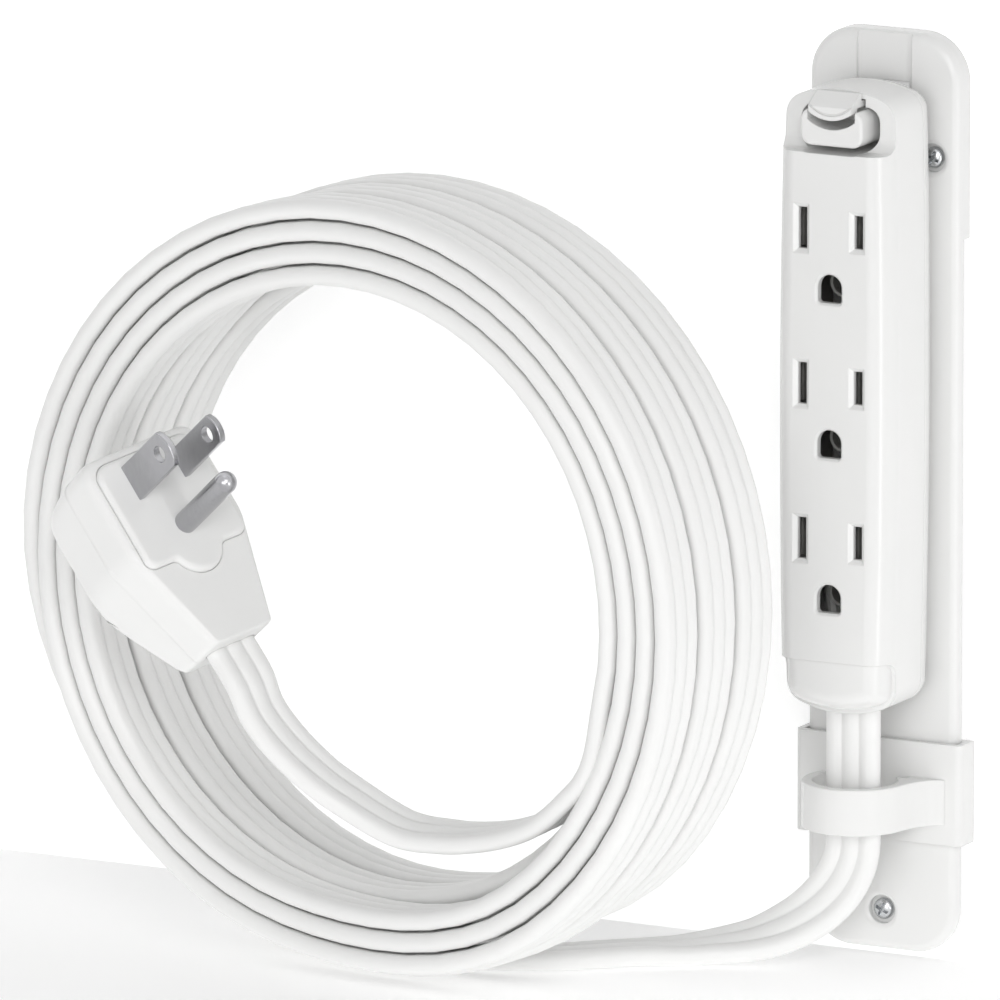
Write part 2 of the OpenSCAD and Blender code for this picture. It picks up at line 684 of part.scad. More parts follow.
// Takes the skin off the strip's lower end, across the front and round both sides
module toe_cut() {
  back = strip_back + toe_margin;
  top = strip_low + toe_length;
  difference() {
    translate([-strip_width, 0, 0]) rotate([90, 0, 90]) linear_extrude(2 * strip_width)
      polygon(concat([[-strip_front - 1, strip_low - 1], [-strip_front - 1, top]],
                     arc(-back - toe_corner, top - toe_corner, toe_corner, 90, 0, 6),
                     [[-back, strip_low - 1]]));
    strip_envelope(toe_step, strip_back);
  }
}

module strip_back_cover() {
  rib = 0.6;
  color(gloss_white) difference() {
    union() {
      difference() {
        strip_envelope(0, strip_back);
        between(cover_joint, strip_front + 1)
          translate([-strip_width, strip_low - 1]) square([2 * strip_width, strip_length + 2]);
        difference() {
          strip_envelope(cover_wall, strip_back - 1);
          between(0, strip_back + cover_wall)
            translate([-strip_width, strip_low - 1]) square([2 * strip_width, strip_length + 2]);
        }
      }
      between(strip_back, cover_joint - fit_gap) difference() {
        intersection() {
          post_opening(1.5);
          polygon(strip_points(0.5));
        }
        post_opening(0);
      }
      for (p = cover_screw_places) {
        between(strip_back + 1, cover_joint) translate(p) circle(d = cover_screw_size + 2.4);
      }
      for (side = [-1, 1]) {
        between(strip_back + 1, contact_back + 6)
          translate([side * 3.9 - rib / 2, lowest_outlet - earth_drop])
            square([rib, outlet_top - lowest_outlet + earth_drop + 4]);
      }
    }
    between(strip_back - 1, cover_joint + 1) post_opening(0);
    for (p = cover_screw_places) {
      translate([p[0], 0, p[1]]) rotate([90, 0, 0])
        cylinder(h = cover_joint + 1, d = cover_screw_size + 2 * fit_gap);
      translate([p[0], 0, p[1]]) rotate([90, 0, 0])
        cylinder(h = strip_back + 1.6, d = cover_screw_size + 2);
    }
  }
}

module strip_screws() {
  color(nickel) {
    for (p = cover_screw_places) {
      translate([p[0], -(strip_back + 0.4), p[1]]) rotate([90, 0, 0])
        cylinder(h = 1.2, d = cover_screw_size + 1.6);
      translate([p[0], -(strip_back + 1), p[1]]) rotate([90, 0, 0])
        cylinder(h = cover_screw_length, d = cover_screw_size);
    }
  }
}

// ---- contacts ----

// Folded contact seen from above: two leaves that flare at the mouth
module leaf_outline() {
  half = contact_half;
  b = brass_thickness;
  for (side = [-1, 1]) {
    scale([side, 1]) polygon([[0, -contact_back], [half + b, -contact_back],
                              [half + b, -contact_front + 1.5], [half + b + 0.6, -contact_front],
                              [half + 0.6, -contact_front], [half, -contact_front + 1.5],
                              [half, -contact_back - b], [0, -contact_back - b]]);
  }
}

// Row of folded contacts on one flat bar
module blade_contacts(side) {
  bar_x = side * (blade_spacing / 2 + contact_half + brass_thickness / 2);
  color(brass) {
    for (z = outlet_heights) {
      translate([side * blade_spacing / 2, 0, z - leaf_length / 2])
        linear_extrude(leaf_length) leaf_outline();
    }
    translate([bar_x - brass_thickness / 2, -contact_back - 6, lowest_outlet - leaf_length / 2 - 5])
      cube([brass_thickness, 6, outlet_top - lowest_outlet + leaf_length + 5]);
  }
}

module neutral_contacts() {
  blade_contacts(-1);
}

module line_contacts() {
  blade_contacts(1);
}

// Split tubes that grip the earth pins, on one bar behind them
module earth_contacts() {
  inner = pin_size / 2 + 0.05;
  color(brass) {
    for (z = outlet_heights) {
      translate([0, 0, z - earth_drop]) difference() {
        between(contact_back, contact_front - 2) circle(inner + brass_thickness);
        between(contact_back + 1, contact_front) circle(inner);
        between(contact_back + 3, contact_front) translate([-0.5, 0]) square([1, 6]);
      }
    }
    between(contact_back, contact_back + 1)
      translate([-2, lowest_outlet - earth_drop - 6]) square([4, outlet_top - lowest_outlet + 9]);
  }
}

// ---- inside the cord's end ----

wire_foot = strip_low + 13;
module conductor(points) {
  tube(points, [for (p = points) [0, -1, 0]], wire_section, conductor_size, conductor_size);
}

module neutral_wire() {
  x = blade_spacing / 2 + contact_half - conductor_size / 2 - fit_gap;
  color("#f2f2f0") conductor([[-lobe_pitch, -cord_reach, wire_foot], [-lobe_pitch, -cord_reach, wire_foot + 4],
                              [-(x + lobe_pitch) / 2, -17.2, wire_foot + 8], [-x, -16.5, wire_foot + 12],
                              [-x, -16.5, lowest_outlet - leaf_length / 2 - fit_gap]]);
}

module line_wire() {
  x = blade_spacing / 2 + contact_half - conductor_size / 2 - fit_gap;
  color("#2a2a2c") conductor([[lobe_pitch, -cord_reach, wire_foot], [lobe_pitch, -cord_reach, wire_foot + 4],
                              [(x + lobe_pitch) / 2, -17.2, wire_foot + 8], [x, -16.5, wire_foot + 12],
                              [x, -16.5, lowest_outlet - leaf_length / 2 - fit_gap]]);
}

module earth_wire() {
  reach = contact_back + 1 + conductor_size / 2 + fit_gap;
  color("#3f8a4c") conductor([[0, -cord_reach, wire_foot], [0, -cord_reach, wire_foot + 1],
                              [0, -cord_reach + 0.8, wire_foot + 3],
                              [0, -reach - 0.6, wire_foot + 5], [0, -reach, wire_foot + 7.5]]);
}

// Section of the cord: three round lobes side by side
module cord_outline(grow) {
  translate([0, -cord_reach]) {
    for (i = [-1:1]) {
      translate([i * lobe_pitch, 0]) circle(cord_thickness / 2 + grow);
    }
    translate([-lobe_pitch, -cord_thickness / 3 - grow])
      square([2 * lobe_pitch, cord_thickness * 2 / 3 + 2 * grow]);
  }
}

module strip_cord_end() {
  color(cord_white) translate([0, 0, strip_low]) linear_extrude(wire_foot - strip_low) cord_outline(0);
}

// Collar that holds the cord between the two covers
module cord_grip() {
  half = cord_width / 2 + 1.4;
  low = strip_low + 5;
  color("#dcdcda") difference() {
    translate([-half, -(strip_front - cover_wall - 3.4), low])
      cube([2 * half, strip_front - cover_wall - 3.4 - (strip_back + cover_wall + fit_gap), 5]);
    translate([0, 0, low - 1]) linear_extrude(7) cord_outline(0.05);
  }
}

// ---- cord ----

module cord_run() {
  color(cord_white) tube(run_path, run_faces, cord_section, cord_width, cord_thickness, trail = 1);
}

module cord_coil() {
  echo(least_gap_between_turns = least_gap);
  color(cord_white) tube(concat([run_points[len(run_points) - 1]], coil_path, [tail_path[2]]),
                         concat([coil_facing[0]], coil_facing, [coil_facing[len(coil_path) - 1]]),
                         coil_section, cord_width, cord_thickness, lead = 1, trail = 1);
}

module cord_tail() {
  color(cord_white) tube(tail_path, tail_faces, cord_section, cord_width, cord_thickness, lead = 1);
}

// ---- plug ----
// In the plug's own frame the blades point to +z, the cord leaves towards -y,
// and y = 0 is the end that is nearest to the blades.

// Outline of the body at a height behind the face: wide at the blades, narrow at the cord
function plug_points(inset, top) =
  let (wide = plug_width / 2 - inset, narrow = plug_neck_width / 2 - inset * 0.6)
  concat(arc(wide - 4, -top - 4, 4, 0, 90, 6), arc(4 - wide, -top - 4, 4, 90, 180, 6),
         [[-wide, -plug_length * 0.48], [-narrow, -plug_length], [narrow, -plug_length],
          [wide, -plug_length * 0.48]]);

module plug_body() {
  color(gloss_white) in_plug() difference() {
    hull() {
      translate([0, 0, -face_rise - 1]) linear_extrude(1) polygon(plug_points(1.2, 1.2));
      translate([0, 0, -5]) linear_extrude(2) polygon(plug_points(0, 0));
      translate([0, 0, -plug_depth * 0.66]) linear_extrude(1) polygon(plug_points(0.6, 0.8));
      translate([0, 0, 2 - plug_depth]) linear_extrude(1)
        polygon(rounded_points(plug_width - 3.2, -plug_length * 0.64, -2, 5, 0));
      translate([0, 0, -plug_depth]) linear_extrude(0.5)
        polygon(rounded_points(plug_width - 9, -plug_length * 0.48, -5, 4, 0));
    }
    translate([0, 0, -face_rise - 4]) linear_extrude(6) polygon(face_points(fit_gap));
    plug_slots(0.6);
    for (room = [[blade_spacing + 4.5, 4, pin_line + 6], [2 * lobe_pitch + 5.5, pin_line, plug_length - 8]]) {
      translate([0, -room[1], -plug_exit_depth]) rotate([90, 0, 0]) linear_extrude(room[2] - room[1])
        square([room[0], 5.2], center = true);
    }
    translate([0, -plug_length + 9, -plug_exit_depth]) rotate([90, 0, 0]) linear_extrude(20)
      plug_cord_outline(fit_gap);
  }
}

// The cord's section where it enters the plug
module plug_cord_outline(grow) {
  for (i = [-1:1]) {
    translate([i * lobe_pitch, 0]) circle(cord_thickness / 2 + grow);
  }
  translate([-lobe_pitch, -cord_thickness / 3 - grow])
    square([2 * lobe_pitch, cord_thickness * 2 / 3 + 2 * grow]);
}

// Outline of the raised face: shoulders, and a round tongue under the earth pin
function face_points(grow) =
  let (half = plug_width / 2 - face_margin, shoulder = pin_line + tongue_middle + 1.7, foot = 2.2,
       drop = 1.7 + tongue_fillet, reach = sqrt(pow(tongue_radius + tongue_fillet, 2) - pow(drop, 2)),
       tilt = atan2(drop, reach),
       side = concat(arc(half - face_corner, -face_margin - face_corner, face_corner + grow, 90, 0, 6),
                     arc(half - foot, foot - shoulder, foot + grow, 0, -90, 5),
                     arc(reach, -shoulder - tongue_fillet, tongue_fillet - grow, 90, 180 - tilt, 5),
                     arc(0, -pin_line - tongue_middle, tongue_radius + grow, -tilt, -90, 8)))
  concat(side, [for (i = [len(side) - 2:-1:0]) [-side[i][0], side[i][1]]]);

// Rigid insert that carries the blades, proud of the body
module plug_face() {
  color(gloss_white) in_plug() difference() {
    translate([0, 0, -face_rise - 3.8]) linear_extrude(face_rise + 3.8) polygon(face_points(0));
    plug_slots(0.1);
  }
}

// Holes that the blades and the earth pin are set in
module plug_slots(room) {
  for (blade = [[-1, neutral_blade_width], [1, line_blade_width]]) {
    translate([blade[0] * blade_spacing / 2, -blade_line, -3])
      cube([blade_thickness + room, blade[1] + room, 12], center = true);
  }
  translate([0, -pin_line, -9]) cylinder(h = 12, d = pin_size + room);
}

// Flat blade with a round nose and a hole near its tip
module blade(side, width) {
  nose = width / 2;
  translate([side * blade_spacing / 2 - blade_thickness / 2, -blade_line, 0]) rotate([90, 0, 90])
    linear_extrude(blade_thickness) difference() {
      union() {
        intersection() {
          translate([-width / 2, blade_reach - 4]) square([width, 4]);
          translate([0, blade_reach - nose * 1.25]) circle(nose * 1.25, $fn = 64);
        }
        translate([-width / 2, -plug_exit_depth + 2]) square([width, blade_reach - 3.2 + plug_exit_depth - 2]);
      }
      translate([0, blade_reach - 4.2]) circle(d = blade_hole);
    }
}

module plug_neutral_blade() {
  color(nickel) in_plug() blade(-1, neutral_blade_width);
}

module plug_line_blade() {
  color(nickel) in_plug() blade(1, line_blade_width);
}

module plug_earth_pin() {
  tip = pin_size / 2;
  color(nickel) in_plug() translate([0, -pin_line, 0]) {
    translate([0, 0, 2 - plug_exit_depth]) cylinder(h = plug_exit_depth - 2 - pin_groove, d = pin_size);
    translate([0, 0, -pin_groove - overlap]) cylinder(h = 2 * pin_groove + 2 * overlap, d = pin_size - 0.6);
    translate([0, 0, pin_groove]) cylinder(h = pin_reach - tip - pin_groove, d = pin_size);
    translate([0, 0, pin_reach - tip]) rotate_extrude() intersection() {
      circle(tip);
      square(tip);
    }
  }
}

// Conductor from the cord's end to the foot of a blade or the pin
module plug_wire(x, end_y, end_x) {
  depth = -plug_exit_depth;
  in_plug() tube([[x, -plug_length + 9 - fit_gap, depth], [x, -plug_length + 12, depth],
                  [(x + end_x) / 2, end_y - 4, depth], [end_x, end_y, depth]],
                 [for (i = [0:3]) [0, 0, 1]], wire_section, conductor_size, conductor_size);
}

module plug_neutral_wire() {
  color("#f2f2f0") plug_wire(-lobe_pitch, -blade_line - 2, -blade_spacing / 2);
}

module plug_line_wire() {
  color("#2a2a2c") plug_wire(lobe_pitch, -blade_line - 2, blade_spacing / 2);
}

module plug_earth_wire() {
  color("#3f8a4c") plug_wire(0, -pin_line - 1, 0);
}

wall_bracket();
wall_screws();
release_tab();
cord_clip();
strip_front_cover();
strip_back_cover();
strip_screws();
neutral_contacts();
line_contacts();
earth_contacts();
neutral_wire();
line_wire();
earth_wire();
strip_cord_end();
cord_grip();
cord_run();
cord_coil();
cord_tail();
plug_body();
plug_face();
plug_neutral_blade();
plug_line_blade();
plug_earth_pin();
plug_neutral_wire();
plug_line_wire();
plug_earth_wire();
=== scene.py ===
import bpy
import bmesh
from math import asin, atan2, cos, exp, hypot, pi, radians, sin, sqrt
from mathutils import Matrix, Vector


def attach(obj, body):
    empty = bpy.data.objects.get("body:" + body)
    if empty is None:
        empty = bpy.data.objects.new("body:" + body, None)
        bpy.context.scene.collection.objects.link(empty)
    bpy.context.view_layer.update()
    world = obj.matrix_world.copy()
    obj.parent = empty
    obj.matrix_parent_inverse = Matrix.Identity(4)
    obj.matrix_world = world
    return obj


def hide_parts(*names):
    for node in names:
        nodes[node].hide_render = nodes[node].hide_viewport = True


# A wall-mounted three-outlet power strip with its coiled flat cord and angled plug.
# Metres throughout: the wall is y = 0, the room is on its -y side and z runs up.
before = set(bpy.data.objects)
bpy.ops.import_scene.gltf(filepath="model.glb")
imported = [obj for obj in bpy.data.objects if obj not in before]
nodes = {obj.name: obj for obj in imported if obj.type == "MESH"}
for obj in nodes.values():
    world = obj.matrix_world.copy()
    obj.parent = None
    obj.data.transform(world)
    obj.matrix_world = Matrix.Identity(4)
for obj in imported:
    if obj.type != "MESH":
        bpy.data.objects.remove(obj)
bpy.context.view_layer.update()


# ---------- camera ----------
view = {"turn": 27.7, "rise": 11.7, "distance": 4.0, "lens": 705.6,
        "right": -0.0806, "up": -0.0025, "back": 0.018}


def placeCamera():
    turn, rise = radians(view["turn"]), radians(view["rise"])
    back = Vector((sin(turn) * cos(rise), -cos(turn) * cos(rise), sin(rise)))
    right = Vector((cos(turn), sin(turn), 0))
    up = right.cross(-back)
    data = bpy.data.cameras.new("studioCamera")
    data.lens = view["lens"]
    data.sensor_width = 36
    data.clip_end = 20
    camera = bpy.data.objects.new("studioCamera", data)
    bpy.context.scene.collection.objects.link(camera)
    target = right * view["right"] + up * view["up"] + back * view["back"]
    camera.location = target + back * view["distance"]
    camera.rotation_euler = Matrix((right, up, back)).transposed().to_euler()
    bpy.context.scene.camera = camera


placeCamera()
print("camera placed")


# ---------- small helpers ----------
def fromHex(code):
    channels = [int(code[i:i + 2], 16) / 255 for i in (1, 3, 5)]
    return tuple(c / 12.92 if c <= 0.04045 else ((c + 0.055) / 1.055) ** 2.4 for c in channels) + (1,)


def addNode(tree, kind, settings=None, links=None):
    node = tree.nodes.new(kind)
    for name, value in (settings or {}).items():
        if name in node.inputs:
            node.inputs[name].default_value = value
        else:
            setattr(node, name, value)
    for name, source in (links or {}).items():
        tree.links.new(source, node.inputs[name])
    return node


def newObject(name, bm):
    mesh = bpy.data.meshes.new(name)
    bm.to_mesh(mesh)
    bm.free()
    made = bpy.data.objects.new(name, mesh)
    bpy.context.scene.collection.objects.link(made)
    return made


def bake(piece):
    # turns the live modifiers into plain mesh
    graph = bpy.context.evaluated_depsgraph_get()
    mesh = bpy.data.meshes.new_from_object(piece.evaluated_get(graph))
    piece.modifiers.clear()
    old = piece.data
    piece.data = mesh
    bpy.data.meshes.remove(old)
    mesh.name = piece.name


def carve(piece, tools, operation="DIFFERENCE"):
    for bm in tools:
        tool = newObject("tool", bm)
        cut = piece.modifiers.new("carve", "BOOLEAN")
        cut.operation = operation
        cut.solver = "MANIFOLD"
        cut.object = tool
        bake(piece)
        bpy.data.meshes.remove(tool.data)
    return piece


def finishPiece(piece, material, body, replaced=(), angle=34, flat=False):
    piece.data.materials.clear()
    piece.data.materials.append(material)
    if not flat:
        piece.data.shade_smooth()
        piece.data.set_sharp_from_angle(angle=radians(angle))
        weighted = piece.modifiers.new("evenNormals", "WEIGHTED_NORMAL")
        weighted.keep_sharp = True
    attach(piece, body)
    if replaced:
        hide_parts(*replaced)
    print("made", piece.name, len(piece.data.polygons))
    return piece


def arc(cx, cy, r, start, end, steps):
    angles = [radians(start + (end - start) * i / steps) for i in range(steps + 1)]
    return [(cx + r * cos(a), cy + r * sin(a)) for a in angles]


def addLoop(bm, points):
    # one closed loop of edges through some points
    verts = [bm.verts.new(p) for p in points]
    return [bm.edges.new((a, b)) for a, b in zip(verts, verts[1:] + verts[:1])]


def loft(rings, capped=True):
    # joins rings with the same number of points into a closed skin
    bm = bmesh.new()
    loops = [addLoop(bm, ring) for ring in rings]
    for a, b in zip(loops, loops[1:]):
        bmesh.ops.bridge_loops(bm, edges=a + b)
    if capped:
        for loop in (loops[0], loops[-1]):
            bmesh.ops.contextual_create(bm, geom=loop)
    bmesh.ops.recalc_face_normals(bm, faces=bm.faces[:])
    return bm


def facing(outline, reach):
    # an outline in x and z at a reach from the wall
    return [(x, -reach, z) for x, z in outline]


def prism(outline, back, front):
    return loft([facing(outline, back), facing(outline, front)])


def roundedBox(low, high, r=0.0, segments=3):
    bm = bmesh.new()
    bmesh.ops.create_cube(bm, size=1)
    size = Vector(high) - Vector(low)
    middle = (Vector(high) + Vector(low)) / 2
    bmesh.ops.scale(bm, vec=size, verts=bm.verts[:])
    bmesh.ops.translate(bm, vec=middle, verts=bm.verts[:])
    if r:
        bmesh.ops.bevel(bm, geom=bm.edges[:], offset=r, segments=segments, profile=0.5,
                        affect="EDGES", material=-1, clamp_overlap=True)
    return bm


def bevelWhere(bm, test, width, segments=3):
    edges = [e for e in bm.edges if test(e)]
    bmesh.ops.bevel(bm, geom=edges, offset=width, segments=segments, profile=0.5,
                    affect="EDGES", material=-1, clamp_overlap=True)
    return bm


def lathe(profile, steps, centre=(0, 0, 0), axis=(0, 0, 1)):
    # a profile of radius and height turned round +z, then laid along an axis
    bm = bmesh.new()
    verts = [bm.verts.new((r, 0, h)) for r, h in profile]
    edges = [bm.edges.new(pair) for pair in zip(verts, verts[1:])]
    bmesh.ops.spin(bm, geom=verts + edges, cent=(0, 0, 0), axis=(0, 0, 1), dvec=(0, 0, 0),
                   angle=2 * pi, steps=steps, use_merge=True)
    bmesh.ops.remove_doubles(bm, verts=bm.verts[:], dist=1e-7)
    bmesh.ops.recalc_face_normals(bm, faces=bm.faces[:])
    turn = Vector((0, 0, 1)).rotation_difference(Vector(axis)).to_matrix().to_4x4()
    bmesh.ops.transform(bm, matrix=Matrix.Translation(centre) @ turn, verts=bm.verts[:])
    return bm


def roundedOutline(width, low, high, r, steps=12):
    x = width / 2 - r
    return (arc(x, low + r, r, -90, 0, steps) + arc(x, high - r, r, 0, 90, steps)
            + arc(-x, high - r, r, 90, 180, steps) + arc(-x, low + r, r, 180, 270, steps))


# ---------- materials ----------
def whiteAbs():
    # Injection-moulded ABS with a polished tool: soft wide highlights, a faint ripple in them,
    # and corners that catch the light
    material = bpy.data.materials.new("mouldedWhiteAbs")
    material.use_nodes = True
    tree = material.node_tree
    shader = tree.nodes["Principled BSDF"]
    shader.inputs["IOR"].default_value = 1.53
    place = addNode(tree, "ShaderNodeTexCoord")
    cloud = addNode(tree, "ShaderNodeTexNoise", {"Scale": 1 / 0.022, "Detail": 0.0},
                    {"Vector": place.outputs["Object"]})  # 22 mm patches
    tint = addNode(tree, "ShaderNodeMix", {"data_type": "RGBA"}, {"Factor": cloud.outputs["Fac"]})
    tint.inputs[6].default_value = fromHex("#e7e7e6")
    tint.inputs[7].default_value = fromHex("#e9e9e8")
    rough = addNode(tree, "ShaderNodeMapRange", {"To Min": 0.23, "To Max": 0.26},
                    {"Value": cloud.outputs["Fac"]})
    edge = addNode(tree, "ShaderNodeBevel", {"samples": 6, "Radius": 0.00035})  # 0.35 mm corners
    grain = addNode(tree, "ShaderNodeTexNoise", {"Scale": 1 / 0.0011, "Detail": 3.0},
                    {"Vector": place.outputs["Object"]})  # 1.1 mm ripple
    bump = addNode(tree, "ShaderNodeBump", {"Strength": 0.05, "Distance": 0.0002},
                   {"Height": grain.outputs["Fac"], "Normal": edge.outputs["Normal"]})
    tree.links.new(tint.outputs[2], shader.inputs["Base Color"])
    tree.links.new(rough.outputs["Result"], shader.inputs["Roughness"])
    tree.links.new(bump.outputs["Normal"], shader.inputs["Normal"])
    return material


def whiteVinyl():
    # Overmoulded PVC: satin, a little warmer than the ABS, with a fine spark-eroded grain
    material = bpy.data.materials.new("overmouldedVinyl")
    material.use_nodes = True
    tree = material.node_tree
    shader = tree.nodes["Principled BSDF"]
    shader.inputs["IOR"].default_value = 1.52
    place = addNode(tree, "ShaderNodeTexCoord")
    cloud = addNode(tree, "ShaderNodeTexNoise", {"Scale": 1 / 0.012, "Detail": 3.0},
                    {"Vector": place.outputs["Object"]})  # 12 mm patches
    tint = addNode(tree, "ShaderNodeMix", {"data_type": "RGBA"}, {"Factor": cloud.outputs["Fac"]})
    tint.inputs[6].default_value = fromHex("#eaeae9")
    tint.inputs[7].default_value = fromHex("#efefee")
    rough = addNode(tree, "ShaderNodeMapRange", {"To Min": 0.36, "To Max": 0.48},
                    {"Value": cloud.outputs["Fac"]})
    edge = addNode(tree, "ShaderNodeBevel", {"samples": 6, "Radius": 0.0005})  # 0.5 mm corners
    grain = addNode(tree, "ShaderNodeTexNoise", {"Scale": 1 / 0.0004, "Detail": 2.0},
                    {"Vector": place.outputs["Object"]})  # 0.4 mm grain
    bump = addNode(tree, "ShaderNodeBump", {"Strength": 0.12, "Distance": 0.0001},
                   {"Height": grain.outputs["Fac"], "Normal": edge.outputs["Normal"]})
    tree.links.new(tint.outputs[2], shader.inputs["Base Color"])
    tree.links.new(rough.outputs["Result"], shader.inputs["Roughness"])
    tree.links.new(bump.outputs["Normal"], shader.inputs["Normal"])
    return material


def cordPvc():
    # Extruded PVC sheath: satin, with faint lines drawn along it by the die
    material = bpy.data.materials.new("extrudedPvcSheath")
    material.use_nodes = True
    tree = material.node_tree
    shader = tree.nodes["Principled BSDF"]
    shader.inputs["IOR"].default_value = 1.52
    place = addNode(tree, "ShaderNodeUVMap", {"uv_map": "alongCord"})
    stretch = addNode(tree, "ShaderNodeMapping", {"Scale": (1 / 0.0006, 1 / 0.06, 1.0)},
                      {"Vector": place.outputs["UV"]})  # lines 0.6 mm apart and 60 mm long
    lines = addNode(tree, "ShaderNodeTexNoise", {"Scale": 1.0, "Detail": 2.0},
                    {"Vector": stretch.outputs["Vector"]})
    space = addNode(tree, "ShaderNodeTexCoord")
    cloud = addNode(tree, "ShaderNodeTexNoise", {"Scale": 1 / 0.03, "Detail": 2.0},
                    {"Vector": space.outputs["Object"]})  # 30 mm patches
    tint = addNode(tree, "ShaderNodeMix", {"data_type": "RGBA"}, {"Factor": cloud.outputs["Fac"]})
    tint.inputs[6].default_value = fromHex("#eaeae9")
    tint.inputs[7].default_value = fromHex("#f0f0ef")
    rough = addNode(tree, "ShaderNodeMapRange", {"To Min": 0.34, "To Max": 0.46},
                    {"Value": lines.outputs["Fac"]})
    bump = addNode(tree, "ShaderNodeBump", {"Strength": 0.08, "Distance": 0.0001},
                   {"Height": lines.outputs["Fac"]})
    tree.links.new(tint.outputs[2], shader.inputs["Base Color"])
    tree.links.new(rough.outputs["Result"], shader.inputs["Roughness"])
    tree.links.new(bump.outputs["Normal"], shader.inputs["Normal"])
    return material


def metal(name, dark, light, smooth, coarse, grain, stretch, bumpStrength):
    material = bpy.data.materials.new(name)
    material.use_nodes = True
    tree = material.node_tree
    shader = tree.nodes["Principled BSDF"]
    shader.inputs["Metallic"].default_value = 1.0
    place = addNode(tree, "ShaderNodeTexCoord")
    scale = addNode(tree, "ShaderNodeMapping", {"Scale": tuple(s / grain for s in stretch)},
                    {"Vector": place.outputs["Object"]})
    lines = addNode(tree, "ShaderNodeTexNoise", {"Scale": 1.0, "Detail": 4.0},
                    {"Vector": scale.outputs["Vector"]})
    tint = addNode(tree, "ShaderNodeMix", {"data_type": "RGBA"}, {"Factor": lines.outputs["Fac"]})
    tint.inputs[6].default_value = fromHex(dark)
    tint.inputs[7].default_value = fromHex(light)
    rough = addNode(tree, "ShaderNodeMapRange", {"To Min": smooth, "To Max": coarse},
                    {"Value": lines.outputs["Fac"]})
    edge = addNode(tree, "ShaderNodeBevel", {"samples": 4, "Radius": 0.00015})
    bump = addNode(tree, "ShaderNodeBump", {"Strength": bumpStrength, "Distance": 0.00005},
                   {"Height": lines.outputs["Fac"], "Normal": edge.outputs["Normal"]})
    tree.links.new(tint.outputs[2], shader.inputs["Base Color"])
    tree.links.new(rough.outputs["Result"], shader.inputs["Roughness"])
    tree.links.new(bump.outputs["Normal"], shader.inputs["Normal"])
    return material


def insulation(name, dark, light):
    # Thin extruded insulation: matt and evenly coloured, with slight lengthwise mottling
    material = bpy.data.materials.new(name)
    material.use_nodes = True
    tree = material.node_tree
    shader = tree.nodes["Principled BSDF"]
    shader.inputs["Roughness"].default_value = 0.5
    place = addNode(tree, "ShaderNodeTexCoord")
    mottle = addNode(tree, "ShaderNodeTexNoise", {"Scale": 1 / 0.002, "Detail": 2.0},
                     {"Vector": place.outputs["Object"]})  # 2 mm mottling
    tint = addNode(tree, "ShaderNodeMix", {"data_type": "RGBA"}, {"Factor": mottle.outputs["Fac"]})
    tint.inputs[6].default_value = fromHex(dark)
    tint.inputs[7].default_value = fromHex(light)
    tree.links.new(tint.outputs[2], shader.inputs["Base Color"])
    return material


abs_ = whiteAbs()
vinyl = whiteVinyl()
sheath = cordPvc()
# Nickel plate over stamped brass: long draw lines in the highlight, greyer than chrome
nickel = metal("stampedNickelPlate", "#a6a6aa", "#b8b8ba", 0.2, 0.28, 0.0008, (1, 1, 0.3), 0.05)
# Bright zinc plate on turned steel: pale grey with a slightly cloudy shine
zinc = metal("zincPlatedSteel", "#c2c4c6", "#dcdee0", 0.16, 0.26, 0.0008, (1, 1, 1), 0.1)
# Tin plate on rolled brass strip: dull grey, with rolling lines under it
tin = metal("tinPlatedBrass", "#a2a29f", "#b8b8b5", 0.6, 0.8, 0.0003, (1, 1, 0.1), 0.12)
whiteWire = insulation("whiteInsulation", "#e6e6e3", "#f2f2f0")
blackWire = insulation("blackInsulation", "#232325", "#2e2e30")
greenWire = insulation("greenInsulation", "#357a42", "#449050")
nylon = insulation("mouldedNylon", "#d4d4d1", "#e0e0dd")
print("materials made")


# ---------- cord ----------
cord = {"width": 0.012, "thickness": 0.0041, "groove": 0.0007,
        "coilRadius": 0.0796, "turnPitch": 0.0046, "columnPitch": 0.0134, "turns": 10.792,
        "place": (-0.0812, -0.049, -0.01585), "turned": 7.5, "ringsPerTurn": 60,
        "stepsIn": (0.84, 1.84, 2.84, 7.88, 8.88, 9.88), "stepsOut": (4.34, 5.34, 6.34),
        "climbs": (3.52, 7.04), "stepSpan": 0.16, "climbSpan": 0.28}
runPoints = [(0, -0.0177, -0.0298), (0, -0.0177, -0.0428), (0, -0.0177, -0.052), (0, -0.0177, -0.064),
             (0, -0.0178, -0.072), (-0.0015, -0.018, -0.0772), (-0.0045, -0.0184, -0.082),
             (-0.009, -0.019, -0.0864), (-0.0145, -0.02, -0.09), (-0.021, -0.0216, -0.0928),
             (-0.028, -0.024, -0.0944), (-0.035, -0.0276, -0.09545), (-0.0415, -0.0322, -0.09545),
             (-0.0475, -0.0376, -0.09545), (-0.053, -0.0428, -0.09545), (-0.059, -0.047, -0.09545)]
runFacing = [(0, -1, 0)] * 5 + [(0, -1, 0.08), (0, -1, 0.25), (0, -1, 0.5), (0, -1, 0.9), (0, -1, 1.8),
                                (0, -0.5, 1.8), (0, -0.2, 1.8)] + [(0, 0, 1)] * 4
tailAngles = [-56, -48, -40, -32, -24.6, -14, 0, 8, 17, 28]
tailRadii = [0.0652, 0.063, 0.0598, 0.0564, 0.0534, 0.0492, 0.041, 0.0366, 0.032, 0.0274]
tailForward = [0.0262, 0.0256, 0.0252, 0.0253, 0.0258, 0.0275, 0.0315, 0.0348, 0.0382, 0.0412]

